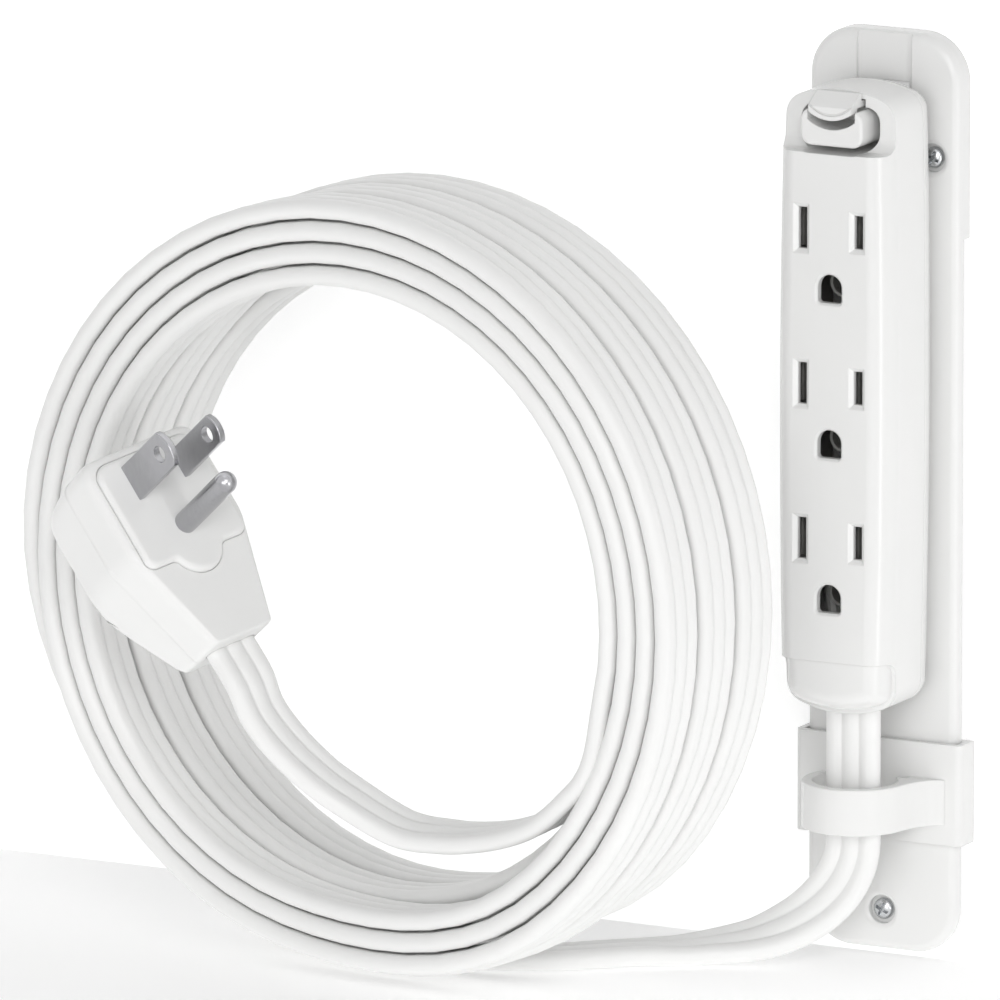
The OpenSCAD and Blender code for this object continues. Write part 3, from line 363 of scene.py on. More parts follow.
plug = {"turn": (54, -11, 68), "place": (-0.1277, -0.0892, 0.0141), "length": 0.0455, "width": 0.0304,
        "faceMargin": 0.002, "faceCorner": 0.0036, "foot": 0.0022, "tongueMiddle": 0.0047, "tongue": 0.0062,
        "fillet": 0.0018, "bladeLine": 0.008, "pinLine": 0.0199, "bladeReach": 0.0182, "pinReach": 0.0214,
        "exitDepth": 0.0085, "bladeSpacing": 0.0127}
plugMatrix = (Matrix.Translation(plug["place"]) @ Matrix.Rotation(radians(plug["turn"][2]), 4, "Z")
              @ Matrix.Rotation(radians(plug["turn"][1]), 4, "Y")
              @ Matrix.Rotation(radians(plug["turn"][0]), 4, "X"))
plugUp = (plugMatrix.to_3x3() @ Vector((0, 0, 1))).normalized()

across = Vector((cos(radians(cord["turned"])), -sin(radians(cord["turned"])), 0))
forward = Vector((-sin(radians(cord["turned"])), -cos(radians(cord["turned"])), 0))


def eased(turns, start, span):
    t = min(1, max(0, (turns - start) / span))
    return t * t * t * (t * (6 * t - 15) + 10)


def coilPoint(angle, r, reach):
    a = radians(angle)
    return (Vector(cord["place"]) - across * (r * sin(a)) + Vector((0, 0, -r * cos(a))) + forward * reach)


def inward(angle):
    a = radians(angle)
    return across * sin(a) + Vector((0, 0, cos(a)))


def woundPoint(turns):
    layer = (sum(eased(turns, a, cord["stepSpan"]) for a in cord["stepsIn"])
             - sum(eased(turns, a, cord["stepSpan"]) for a in cord["stepsOut"]))
    column = sum(eased(turns, a, cord["climbSpan"]) for a in cord["climbs"])
    return coilPoint(360 * turns, cord["coilRadius"] - cord["turnPitch"] * layer, cord["columnPitch"] * column)


def through(points, faces, before, after, each):
    # a smooth line through some points, with the way that the flat side faces at each
    line, ways = [], []
    padded = [before] + points + [after]
    for i in range(len(points) - 1):
        a, b, c, d = padded[i:i + 4]
        for k in range(each):
            t = k / each
            line.append(((2 * b) + (c - a) * t + (2 * a - 5 * b + 4 * c - d) * t * t
                         + (3 * b - a - 3 * c + d) * t ** 3) / 2)
            ways.append(faces[i].normalized().lerp(faces[i + 1].normalized(), t).normalized())
    return line, ways


def cordRoute():
    last = cord["turns"]
    coilStart = woundPoint(0) + across * cord["width"]
    endWay = (woundPoint(last) - woundPoint(last - 0.01)).normalized()
    run = [Vector(p) for p in runPoints] + [coilStart, woundPoint(0)]
    faces = [Vector(f) for f in runFacing] + [Vector((0, 0, 1)), inward(0)]
    line, ways = through(run, faces, run[0] + Vector((0, 0, 0.008)), woundPoint(0.02), 5)
    count = int(cord["ringsPerTurn"] * last)
    line += [woundPoint(i / cord["ringsPerTurn"]) for i in range(count)]
    ways += [inward(360 * i / cord["ringsPerTurn"]) for i in range(count)]
    tail = [woundPoint(last), woundPoint(last) + endWay * cord["width"]]
    faces = [inward(360 * last), inward(360 * last)]
    steps = len(tailAngles)
    for i in range(steps):
        part = (i + 1) / (steps + 1)
        tail.append(coilPoint(tailAngles[i], tailRadii[i], tailForward[i]))
        faces.append(plugUp * part + inward(tailAngles[i]) * (1 - part))
    for y in (plug["length"] + 0.008, plug["length"], plug["length"] - 0.007):
        tail.append(plugMatrix @ Vector((0, -y, -plug["exitDepth"])))
        faces.append(plugUp)
    end = plugMatrix @ Vector((0, -plug["length"] + 0.014, -plug["exitDepth"]))
    more, moreWays = through(tail, faces, woundPoint(last - 1 / 24), end, 6)
    return line + more + [tail[-1]], ways + moreWays + [plugUp]


def cordSection():
    # half of the outline: three round lobes with grooves between them, then one round end
    half, pitch = cord["thickness"] / 2, (cord["width"] - cord["thickness"]) / 2
    spread = pitch / 2 / sqrt(1 - (1 - cord["groove"] / half) ** 2)
    top = []
    for lobe in (pitch, 0, -pitch):
        shares = [1, 0.86, 0.6, 0.3, 0, -0.3, -0.6, -0.86] if lobe > -pitch else [1, 0.86, 0.6, 0.3, 0]
        if lobe == pitch:
            shares = shares[4:]
        top += [(lobe + pitch / 2 * t, half * sqrt(1 - (pitch / 2 * t / spread) ** 2)) for t in shares]
    end = [(-pitch + half * cos(a), half * sin(a)) for a in (radians(90 + 22.5 * k) for k in range(1, 8))]
    upper = top + end
    return upper + [(-x, -y) for x, y in upper]


def makeCord():
    line, ways = cordRoute()
    section = cordSection()
    rings = []
    for i, p in enumerate(line):
        along = (line[min(i + 1, len(line) - 1)] - line[max(i - 1, 0)]).normalized()
        n = (ways[i] - along * ways[i].dot(along)).normalized()
        w = n.cross(along)
        rings.append([p + w * x + n * y for x, y in section])
    bm = bmesh.new()
    uv = bm.loops.layers.uv.new("alongCord")
    edges = addLoop(bm, rings[0])
    bmesh.ops.contextual_create(bm, geom=edges)
    for ring in rings[1:]:
        grown = bmesh.ops.extrude_edge_only(bm, edges=edges)["geom"]
        verts = [g for g in grown if isinstance(g, bmesh.types.BMVert)]
        edges = [g for g in grown if isinstance(g, bmesh.types.BMEdge)]
        for vert, point in zip(verts, ring):
            vert.co = point
        edges = edges[:len(ring)]
    bmesh.ops.contextual_create(bm, geom=edges)
    bmesh.ops.recalc_face_normals(bm, faces=bm.faces[:])
    bm.verts.index_update()
    count = len(section)
    girth = [0.0]
    for a, b in zip(section, section[1:] + section[:1]):
        girth.append(girth[-1] + hypot(b[0] - a[0], b[1] - a[1]))
    lengths = [0.0]
    for a, b in zip(line, line[1:]):
        lengths.append(lengths[-1] + (b - a).length)
    for face in bm.faces:
        if len(face.verts) != 4:
            continue
        sides = [loop.vert.index % count for loop in face.loops]
        wraps = max(sides) - min(sides) > 1
        for loop, side in zip(face.loops, sides):
            ringNumber = loop.vert.index // count
            loop[uv].uv = (girth[count] if wraps and side == 0 else girth[side], lengths[ringNumber])
    piece = newObject("flatCord", bm)
    finishPiece(piece, sheath, "bracket",
                ("strip_cord_end", "cord_run", "cord_coil", "cord_tail"), angle=80)
    return piece, line, lengths[-1]


flatCord, cordLine, cordLength = makeCord()
print("cord length", round(cordLength, 3))


# ---------- strip ----------
strip = {"width": 0.0264, "low": -0.0428, "length": 0.13, "front": 0.0297, "back": 0.008, "joint": 0.012,
         "corner": 0.0048, "arch": 20, "edge": 0.006, "barrel": 0.0009, "taper": 0.0012, "wall": 0.002,
         "toe": 0.0118, "toeCorner": 0.003, "toeStep": 0.001, "toeBack": 0.0234, "stepLow": 0.0746,
         "stepFloor": 0.0245, "openingLow": 0.0744, "openingHigh": 0.0838, "openingWidth": 0.0178,
         "tabNotch": 0.0855, "tabWidth": 0.0098}
outlets = {"heights": (0.0587, 0.0265, -0.0057), "spacing": 0.0127, "drop": 0.0119, "slotWidth": 0.0019,
           "neutral": 0.0086, "line": 0.0069, "earth": 0.0054, "bevel": 0.0009, "earthBevel": 0.0005}
strip["high"] = strip["low"] + strip["length"]
strip["middle"] = (strip["low"] + strip["high"]) / 2


def stripSide(z):
    return strip["width"] / 2 - strip["barrel"] * ((z - strip["middle"]) / (strip["length"] / 2)) ** 2


def stripOutline(inset, sideSteps=24, steps=10):
    # sides that bow out a little, and arched ends with round corners
    r, bend = strip["corner"], radians(strip["arch"])
    x = stripSide(strip["high"] - r) - r
    big = x / sin(bend)
    centre = strip["length"] / 2 - r - big
    over = max(0, inset - r + 0.0005)
    c, x, big = max(r - inset, 0.0005), x - over, big - over
    lean = asin(x / big)
    top, tilt = centre + big * cos(lean), lean * 180 / pi
    heights = [top * (2 * i / sideSteps - 1) for i in range(1, sideSteps)]
    right = [(stripSide(strip["middle"] + h) - inset, h) for h in heights]
    cap = (arc(x, top, c, 0, 90 - tilt, steps) + arc(0, centre, big + c, 90 - tilt, 90 + tilt, 24)[1:-1]
           + arc(-x, top, c, 90 + tilt, 180, steps))
    outline = right + cap + [(-x, h) for x, h in reversed(right)] + [(-x, -h) for x, h in cap]
    return [(x, h + strip["middle"]) for x, h in outline]


def stripLevels(wall, back, front):
    # reach and inset of each ring of the strip's skin
    r = strip["edge"] - wall * 0.6
    face = strip["front"] - wall
    taper = strip["taper"]
    levels = [(strip["back"], taper), (strip["back"] + 0.0005, taper * 0.7), (strip["back"] + 0.0013, taper * 0.3),
              (strip["joint"] - 0.001, 0.0)]
    levels += [(face - r + r * sin(radians(a)), 0.8 * r * (1 - cos(radians(a)))) for a in range(0, 91, 6)]
    return [(y, i + wall) for y, i in levels if back - 1e-6 <= y <= front + 1e-6]


def stripSkin(wall, back, front, seam=0.0):
    levels = stripLevels(wall, back, front)
    if levels[0][0] > back + 1e-6:
        levels = [(back, wall + seam), (back + max(seam, 0.0001), wall)] + levels
    if levels[-1][0] < front - 1e-6:
        levels += [(front - max(seam, 0.0001), wall), (front, wall + seam)]
    return loft([facing(stripOutline(inset), y) for y, inset in levels])


def openingOutline(grow):
    half, foot, r = strip["openingWidth"] / 2 + grow, 0.0042 + grow, 0.003 + grow
    low, high = strip["openingLow"] - grow, strip["openingHigh"] + grow
    notch, top = strip["tabWidth"] / 2 + 0.0007 + grow, strip["tabNotch"] + grow
    right = (arc(half - foot, low + foot, foot, -90, 0, 10) + arc(half - r, high - r, r, 0, 90, 8)
             + [(notch, high), (notch, top)])
    return right + [(-x, z) for x, z in reversed(right)]


def slotTool(x, z, width, height, bevel):
    # straight slot whose mouth widens to a bevel
    front = strip["front"]
    rings = []
    for reach, grow in ((front - 0.005, 0), (front - bevel, 0), (front + 0.0001, bevel * 1.1)):
        w, h = width / 2 + grow, height / 2 + grow
        rings.append([(x - w, -reach, z - h), (x + w, -reach, z - h), (x + w, -reach, z + h), (x - w, -reach, z + h)])
    return loft(rings)


def earthTool(z, bevel):
    # round above, flat below
    front, r = strip["front"], outlets["earth"] / 2
    rings = []
    for reach, grow in ((front - 0.005, 0), (front - bevel, 0), (front + 0.0001, bevel * 1.1)):
        outline = [(x, z + y) for x, y in arc(0, 0, r + grow, 0, 180, 24)]
        foot = [(x, z + y) for x, y in arc(0.0007 - r, -0.0025, 0.0007 + grow, 180, 270, 5)
                + arc(r - 0.0007, -0.0025, 0.0007 + grow, -90, 0, 5)]
        rings.append(facing(outline + foot, reach))
    return loft(rings)


def stepTool():
    # takes off the strip's top end, with a hollow foot
    foot, deep, low = 0.003, strip["stepFloor"], strip["stepLow"]
    hollow = [(deep + foot - foot * cos(a), low + foot - foot * sin(a)) for a in (radians(9 * k) for k in range(11))]
    outline = [(deep, strip["high"] + 0.001)] + hollow + [(0.032, low), (0.032, strip["high"] + 0.001)]
    return loft([[(x, -y, z) for y, z in outline] for x in (-0.02, 0.02)])


def toeTool():
    # the skin of the lower end, across the front and round both sides
    r, top, back = strip["toeCorner"], strip["low"] + strip["toe"], strip["toeBack"]
    profile = [(0.032, strip["low"] - 0.001), (0.032, top)]
    profile += [(back + r - y, top - r + z) for y, z in arc(0, 0, r, 90, 0, 12)]
    profile.append((back, strip["low"] - 0.001))
    piece = newObject("toe", loft([[(x, -y, z) for y, z in profile] for x in (-0.02, 0.02)]))
    carve(piece, [stripSkin(strip["toeStep"], strip["joint"], strip["front"] - strip["toeStep"])])
    bm = bmesh.new()
    bm.from_mesh(piece.data)
    bpy.data.meshes.remove(piece.data)
    return bm


def cordTool(grow):
    outline = [(x * (1 + grow / 0.006), -0.0177 + y * (1 + grow / 0.00205)) for x, y in cordSection()]
    return loft([[(x, y, z) for x, y in outline] for z in (strip["low"] - 0.001, strip["low"] + 0.011)])


def sleeveAround(back, front, inset):
    # wall round the opening for the post, kept inside the strip's skin
    piece = newObject("sleeve", prism(openingOutline(0.0015), back, front))
    carve(piece, [prism(stripOutline(inset), back - 0.001, front + 0.001)], "INTERSECT")
    bm = bmesh.new()
    bm.from_mesh(piece.data)
    bpy.data.meshes.remove(piece.data)
    return bm


def makeFrontCover():
    piece = newObject("stripFront", stripSkin(0, strip["joint"], strip["front"], seam=0.00018))
    cavity = stripSkin(strip["wall"], strip["joint"] - 0.001, strip["front"] - strip["wall"])
    hollow = newObject("hollow", cavity)
    top = strip["stepLow"] - strip["wall"]
    carve(hollow, [roundedBox((-0.03, -strip["front"], top), (0.03, strip["wall"] - strip["stepFloor"], 0.1))])
    tool = bmesh.new()
    tool.from_mesh(hollow.data)
    bpy.data.meshes.remove(hollow.data)
    carve(piece, [tool])
    carve(piece, [sleeveAround(strip["joint"], strip["stepFloor"], 0.0001)], "UNION")
    tools = [stepTool(), prism(openingOutline(0), 0.006, 0.031), toeTool(), cordTool(0.0002)]
    for z in outlets["heights"]:
        tools += [slotTool(-outlets["spacing"] / 2, z, outlets["slotWidth"], outlets["neutral"], outlets["bevel"]),
                  slotTool(outlets["spacing"] / 2, z, outlets["slotWidth"], outlets["line"], outlets["bevel"]),
                  earthTool(z - outlets["drop"], outlets["earthBevel"])]
    carve(piece, tools)
    finishPiece(piece, abs_, "bracket", ("strip_front_cover",))


def makeBackCover():
    piece = newObject("stripBack", stripSkin(0, strip["back"], strip["joint"], seam=0.00018))
    carve(piece, [stripSkin(strip["wall"], strip["back"] + strip["wall"], strip["joint"] + 0.001)])
    carve(piece, [sleeveAround(strip["back"] + 0.001, strip["joint"] - 0.0002, 0.0011)], "UNION")
    holes = [prism(openingOutline(0), 0.006, 0.014)]
    for x in (-0.0081, 0.0081):
        for z in (strip["low"] + 0.0175, 0.069):
            holes.append(lathe([(0, 0), (0.0022, 0), (0.0022, 0.0036), (0.0014, 0.0036), (0.0014, 0.008), (0, 0.008)],
                               24, (x, -0.006, z), (0, -1, 0)))
    carve(piece, holes)
    finishPiece(piece, abs_, "bracket", ("strip_back_cover",))


makeFrontCover()
makeBackCover()

# ---------- wall bracket ----------
bracket = {"height": 0.192, "railWidth": 0.0344, "railTop": 0.0538, "reach": 0.005,
           "flange": 0.0024, "overhang": 0.0026, "corner": 0.01, "edge": 0.0019, "channel": 0.0125,
           "channelDepth": 0.0008, "postWidth": 0.014, "postLow": 0.0759, "postHigh": 0.0835,
           "postFront": 0.029, "tongueLow": 0.0839, "tongueHigh": 0.0852, "padLow": 0.0814, "padBow": 0.0082,
           "railGap": 0.017}


def edgedPlate(width, low, high, back):
    front, r = bracket["reach"], bracket["edge"]
    levels = [(back, 0)] + [(front - r + r * sin(radians(a)), r * (1 - cos(radians(a)))) for a in range(0, 91, 10)]
    rings = []
    for reach, inset in levels:
        c = bracket["corner"]
        x = width / 2 - c
        outline = (arc(x, low + c, c - inset, -90, 0, 14) + arc(x, high - c, c - inset, 0, 90, 14)
                   + arc(-x, high - c, c - inset, 90, 180, 14) + arc(-x, low + c, c - inset, 180, 270, 14))
        rings.append(facing(outline, reach))
    return loft(rings)


def postBody():
    half, r = bracket["postWidth"] / 2, 0.0024
    low, high = bracket["postLow"], bracket["postHigh"]
    outline = (arc(half - r, low + r, r, -90, 0, 8) + arc(half - r, high - r, r, 0, 90, 8)
               + arc(r - half, high - r, r, 90, 180, 8) + arc(r - half, low + r, r, 180, 270, 8))
    bm = prism(outline, bracket["reach"] - 0.0005, bracket["postFront"])
    front = -bracket["postFront"]
    return bevelWhere(bm, lambda e: all(abs(v.co.y - front) < 1e-6 for v in e.verts), 0.0006, 4)


def troughTool():
    half, front, high = strip["tabWidth"] / 2 + 0.0005, bracket["postFront"], bracket["postHigh"]
    outline = [(bracket["reach"] + 0.0005, high + 0.001), (bracket["reach"] + 0.0005, high - 0.0005),
               (front + 0.001, high - 0.0019), (front + 0.001, high + 0.001)]
    return loft([[(x, -y, z) for y, z in outline] for x in (-half, half)])


def scoopTool():
    # hollow in the post's front, under the thumb pad
    half, r = strip["tabWidth"] / 2 + 0.0005, (strip["tabWidth"] + 0.001) * 0.8
    spread = atan2(half, sqrt(r * r - half * half))
    low = bracket["padLow"] - 0.002
    curve = [(r * sin(a), low + r - r * cos(a)) for a in (spread * (k / 10 - 1) for k in range(21))]
    outline = curve + [(half, bracket["postHigh"] + 0.001), (-half, bracket["postHigh"] + 0.001)]
    return prism(outline, bracket["postFront"] - 0.012, bracket["postFront"] + 0.001)


def seatTool(x, z):
    r = 0.00175 + 0.0002
    head = 0.0028 + 0.0002
    return lathe([(0, -0.001), (r, -0.001), (r, 0.003), (head, 0.003), (head, 0.0043), (0.0043, 0.0051),
                  (0.0043, 0.006), (0, 0.006)], 40, (x, 0, z), (0, -1, 0))


def makeBracket():
    inset, low, half = bracket["overhang"], -bracket["height"] / 2, bracket["railWidth"] / 2
    core = prism(roundedOutline(2 * (half - inset), low + inset, -low - inset, bracket["corner"] - inset),
                 0, bracket["reach"] - bracket["flange"] + 0.0003)
    corner = bracket["corner"]
    rim = (arc(half - corner, -low - corner, corner, 0, 90, 14)
           + arc(corner - half, -low - corner, corner, 90, 180, 14))
    piece = newObject("wallBracket", core)
    parts = [edgedPlate(bracket["railWidth"], low, -low, bracket["reach"] - bracket["flange"]),
             prism([(half, bracket["railTop"])] + rim + [(-half, bracket["railTop"])],
                   0, bracket["reach"] - bracket["flange"] + 0.0003), postBody()]
    for side in (-1, 1):
        x = side * bracket["railGap"] / 2
        parts.append(roundedBox((x - 0.0006, -strip["back"] + 0.0001, strip["low"] + 0.009),
                                (x + 0.0006, -bracket["reach"] + 0.0008, strip["low"] + 0.113)))
    carve(piece, parts, "UNION")
    channel, floor = bracket["channel"] / 2, bracket["reach"] - bracket["channelDepth"]
    tools = [roundedBox((-channel, -0.008, bracket["postHigh"] + 0.0006), (channel, -floor, -low + 0.001)),
             troughTool(), scoopTool(), seatTool(-0.0108, 0.0705), seatTool(0.0108, 0.0705),
             seatTool(0, low + 0.0083),
             roundedBox((-strip["tabWidth"] / 2 - 0.0005, -0.006, bracket["tongueLow"] - 0.0004),
                        (strip["tabWidth"] / 2 + 0.0005, 0.001, bracket["tongueHigh"] + 0.0005))]
    carve(piece, tools)
    finishPiece(piece, abs_, "bracket", ("wall_bracket",))


makeBracket()


# ---------- release tab ----------
def makeTab():
    low, high = bracket["tongueLow"], bracket["tongueHigh"]
    nose, catch = bracket["postFront"] + 0.0006, strip["stepFloor"] + 0.0003
    root, half = bracket["reach"] + 0.001, strip["tabWidth"] / 2
    profile = [(root, low), (root, high), (catch, high), (catch, high + 0.0015), (catch + 0.001, high + 0.0015),
               (nose - 0.0008, high - 0.0004), (nose, high - 0.001), (nose, bracket["padLow"]),
               (nose - 0.0024, bracket["padLow"]), (nose - 0.0028, low)]
    bm = loft([[(x, -y, z) for y, z in profile] for x in (-half, half)])
    piece = newObject("releaseTab", bm)
    # the pad's lower edge is bowed
    r = bracket["padBow"]
    spread = atan2(half + 0.0004, sqrt(r * r - (half + 0.0004) ** 2))
    bow = [(r * sin(a), bracket["padLow"] + r - r * cos(a)) for a in (spread * (k / 12 - 1) for k in range(25))]
    outline = bow + [(half + 0.0004, bracket["padLow"] - 0.001), (-half - 0.0004, bracket["padLow"] - 0.001)]
    lip = [(t * (r - 0.0009) / r, z) for t, z in ((x, z + 0.0009) for x, z in bow)]
    lip += [(x, z + 0.0004) for x, z in reversed(lip)]
    carve(piece, [prism(outline, nose - 0.0034, nose + 0.001), prism(lip, nose - 0.0003, nose + 0.001)])
    finishPiece(piece, abs_, "release_tab", ("release_tab",))


makeTab()

# ---------- cord clip ----------
clip = {"height": 0.0212, "middle": -0.0617, "wall": 0.0014, "gap": 0.0003, "armHeight": 0.0096,
        "arm": 0.0022, "loop": 0.0088, "centre": (-0.0012, -0.0145), "edge": 0.0007}


def armOutline():
    cx, cy = clip["centre"]
    inner, outer = clip["loop"], clip["loop"] + clip["arm"]
    plate = -(bracket["reach"] + clip["gap"] + clip["wall"])
    tip = 159.6
    end = arc(cx + (inner + outer) / 2 * cos(radians(tip)), cy + (inner + outer) / 2 * sin(radians(tip)),
              clip["arm"] / 2, tip, tip - 180, 8)[1:-1]
    inside = arc(cx, cy, inner, tip, 405, 60)
    foot = [(0.0072, plate - 0.0015), (0.0072, plate + 0.0003), (0.0154, plate + 0.0003), (0.0154, plate - 0.0001),
            (0.0144, plate - 0.0004), (0.0134, plate - 0.001), (0.0124, plate - 0.002), (0.0116, plate - 0.0033),
            (0.0109, plate - 0.0048), (0.0103, plate - 0.0064)]
    outside = arc(cx, cy, outer, 345, tip, 60)
    return inside + foot + outside + end


def makeClip():
    inside = bracket["railWidth"] / 2 + clip["gap"]
    outside = inside + clip["wall"]
    plateBack = bracket["reach"] + clip["gap"]
    plateFront = plateBack + clip["wall"]
    hookFront = bracket["reach"] - bracket["flange"] - clip["gap"]
    hookIn = bracket["railWidth"] / 2 - bracket["overhang"] + clip["gap"]
    right = ([(outside - 0.0014 + 0.0014 * sin(a), -plateFront + 0.0014 - 0.0014 * cos(a))
              for a in (radians(9 * k) for k in range(11))]
             + [(outside, -clip["gap"]), (hookIn, -clip["gap"]), (hookIn, -hookFront), (inside, -hookFront),
                (inside, -plateBack)])
    outline = right + [(-x, y) for x, y in reversed(right)]
    low = clip["middle"] - clip["height"] / 2
    body = loft([[(x, y, z) for x, y in outline] for z in (low, low + clip["height"])])
    piece = newObject("cordClip", body)
    low = clip["middle"] - clip["armHeight"] / 2 - 0.0016
    high = low + clip["armHeight"]
    arm = loft([[(x, y, z) for x, y in armOutline()] for z in (low, high)])
    bevelWhere(arm, lambda e: abs(e.verts[0].co.z - e.verts[1].co.z) < 1e-6, clip["edge"], 4)
    carve(piece, [arm], "UNION")
    finishPiece(piece, abs_, "cord_clip", ("cord_clip",))


makeClip()

# ---------- wall screws ----------
screws = {"head": 0.0022, "shank": 0.00175, "length": 0.018, "headBack": 0.0031}


def makeScrews():
    back, head, shank = screws["headBack"], screws["head"], screws["shank"]
    profile = [(0, -screws["length"]), (0.0002, -screws["length"]), (shank, -screws["length"] + 0.003),
               (shank, back), (head, back), (head, back + 0.0005), (head - 0.0001, back + 0.0008),
               (head - 0.0004, back + 0.0012), (head - 0.001, back + 0.0015), (head - 0.0018, back + 0.0016),
               (0, back + 0.0016)]
    whole = None
    for x, z in ((-0.0108, 0.0705), (0.0108, 0.0705), (0, -bracket["height"] / 2 + 0.0083)):
        one = newObject("screw", lathe(profile, 40, (x, 0, z), (0, -1, 0)))
        cuts = []
        for turn in (25, 115):
            bm = bmesh.new()
            bmesh.ops.create_cube(bm, size=1)
            bmesh.ops.scale(bm, vec=(0.0036, 0.0024, 0.0009), verts=bm.verts[:])
            bmesh.ops.scale(bm, vec=(0.7, 1, 0.6), verts=[v for v in bm.verts if v.co.y > 0])
            bmesh.ops.rotate(bm, cent=(0, 0, 0), matrix=Matrix.Rotation(radians(turn), 3, "Y"), verts=bm.verts[:])
            bmesh.ops.translate(bm, vec=(x, -back - 0.0016, z), verts=bm.verts[:])
            cuts.append(bm)
        carve(one, cuts)
        if whole is None:
            whole = one
            continue
        more = bmesh.new()
        more.from_mesh(whole.data)
        more.from_mesh(one.data)
        more.to_mesh(whole.data)
        more.free()
        bpy.data.meshes.remove(one.data)
    whole.name = "wallScrews"
    finishPiece(whole, zinc, "bracket", ("wall_screws",))


makeScrews()


# ---------- plug ----------
def roundedLoop(corners, perSide):
    # a closed line with round corners: (x, y, radius) each
    points = []
    for i, (x, y, r) in enumerate(corners):
        here = Vector((x, y))
        before = (Vector(corners[i - 1][:2]) - here)
        after = (Vector(corners[(i + 1) % len(corners)][:2]) - here)
        a, b = before.normalized(), after.normalized()
        half = a.angle(b) / 2
        reach = min(r / max(0.05, sin(half)) * cos(half), before.length * 0.45, after.length * 0.45)
        start, end = here + a * reach, here + b * reach
        for k in range(9):
            t = k / 8
            points.append(start * (1 - t) ** 2 + here * 2 * t * (1 - t) + end * t * t)
        nextHere = Vector(corners[(i + 1) % len(corners)][:2])
        for k in range(1, perSide):
            points.append(end.lerp(nextHere - b * min(reach, b.length), k / perSide * 0.92))
    return points


def bodyCorners(wide, narrow, top, middle, end, rTop, rEnd):
    return [(narrow, -end, rEnd), (wide, -middle, 0.012), (wide, -top, rTop),
            (-wide, -top, rTop), (-wide, -middle, 0.012), (-narrow, -end, rEnd)]


bodyLevels = [  # height behind the face, then the outline's half widths, ends and radii
    (-0.00120, 0.0135, 0.0068, 0.0017, 0.0218, 0.04510, 0.0034, 0.0010),
    (-0.00125, 0.0139, 0.0070, 0.0013, 0.0218, 0.04525, 0.0035, 0.0011),
    (-0.00145, 0.01435, 0.0073, 0.00085, 0.0218, 0.04538, 0.0037, 0.0012),
    (-0.00180, 0.01475, 0.0075, 0.00045, 0.0218, 0.04545, 0.0039, 0.0013),
    (-0.00240, 0.01508, 0.0077, 0.00012, 0.0218, 0.04550, 0.0040, 0.0014),
    (-0.00300, 0.0152, 0.0078, 0.0000, 0.0218, 0.04550, 0.0040, 0.0014),
    (-0.00500, 0.0152, 0.0078, 0.0000, 0.0218, 0.04550, 0.0040, 0.0014),
    (-0.01000, 0.01505, 0.0077, 0.0003, 0.0218, 0.04550, 0.0041, 0.0014),
    (-0.01085, 0.01501, 0.00768, 0.00034, 0.0218, 0.04550, 0.0041, 0.0014),
    (-0.01095, 0.01511, 0.00778, 0.00024, 0.0218, 0.04560, 0.0041, 0.0014),
    (-0.01115, 0.01511, 0.00778, 0.00024, 0.0218, 0.04560, 0.0041, 0.0014),
    (-0.01125, 0.01499, 0.00766, 0.00037, 0.0218, 0.04550, 0.0041, 0.0014),
    (-0.01400, 0.0148, 0.00755, 0.0006, 0.0218, 0.04550, 0.0042, 0.0014),
    (-0.01660, 0.0146, 0.0075, 0.0008, 0.0218, 0.04530, 0.0043, 0.0016),
    (-0.01760, 0.0145, 0.0077, 0.00095, 0.0219, 0.04440, 0.0044, 0.0022),
    (-0.01950, 0.0143, 0.0091, 0.0012, 0.0222, 0.04000, 0.0046, 0.0030),
    (-0.02180, 0.01395, 0.0109, 0.0016, 0.0228, 0.03450, 0.0048, 0.0036),
    (-0.02360, 0.0135, 0.0122, 0.0022, 0.0230, 0.03000, 0.0050, 0.0044),
    (-0.02460, 0.0129, 0.0120, 0.0029, 0.0220, 0.02720, 0.0050, 0.0046),
    (-0.02540, 0.0120, 0.0114, 0.0038, 0.0200, 0.02460, 0.0048, 0.0046),
    (-0.02585, 0.0110, 0.0106, 0.0048, 0.0180, 0.02270, 0.0044, 0.0044),
    (-0.02600, 0.0094, 0.0092, 0.0064, 0.0160, 0.02060, 0.0036, 0.0036)]


def makePlugBody():
    rings = []
    for z, wide, narrow, top, middle, end, rTop, rEnd in bodyLevels:
        loop = roundedLoop(bodyCorners(wide, narrow, top, middle, end, rTop, rEnd), 4)
        rings.append([(p.x, p.y, z) for p in loop])
    bm = loft(rings)
    hole = [(x * 1.03, y * 1.06) for x, y in cordSection()]
    length, deep = plug["length"], plug["exitDepth"]
    tool = loft([[(x, -y0, -deep + y) for x, y in hole] for y0 in (length + 0.002, length - 0.009)])
    seat = loft([[p + (z,) for p in faceOutline(0.00008)] for z in (-0.0024, 0.001)])
    for mesh in (bm, tool, seat):
        bmesh.ops.transform(mesh, matrix=plugMatrix, verts=mesh.verts[:])
    piece = newObject("plugBody", bm)
    carve(piece, [tool, seat])
    return finishPiece(piece, vinyl, "bracket", ("plug_body",), angle=50)


def faceOutline(grow=0.0):
    # square shoulders, and a round tongue under the earth pin
    half, corner, foot = plug["width"] / 2 - plug["faceMargin"], plug["faceCorner"], plug["foot"]
    centre, tongue, fillet = plug["pinLine"] + plug["tongueMiddle"], plug["tongue"], plug["fillet"]
    shoulder = centre + 0.0017
    drop = shoulder - centre + fillet
    reach = sqrt((tongue + fillet) ** 2 - drop ** 2)
    tilt = atan2(drop, reach) * 180 / pi
    side = (arc(half - corner, -plug["faceMargin"] - corner, corner + grow, 90, 0, 10)
            + arc(half - foot, foot - shoulder, foot + grow, 0, -90, 10)
            + arc(reach, -shoulder - fillet, fillet - grow, 90, 180 - tilt, 8)
            + arc(0, -centre, tongue + grow, -tilt, -90, 16))
    return side + [(-x, y) for x, y in reversed(side[:-1])]


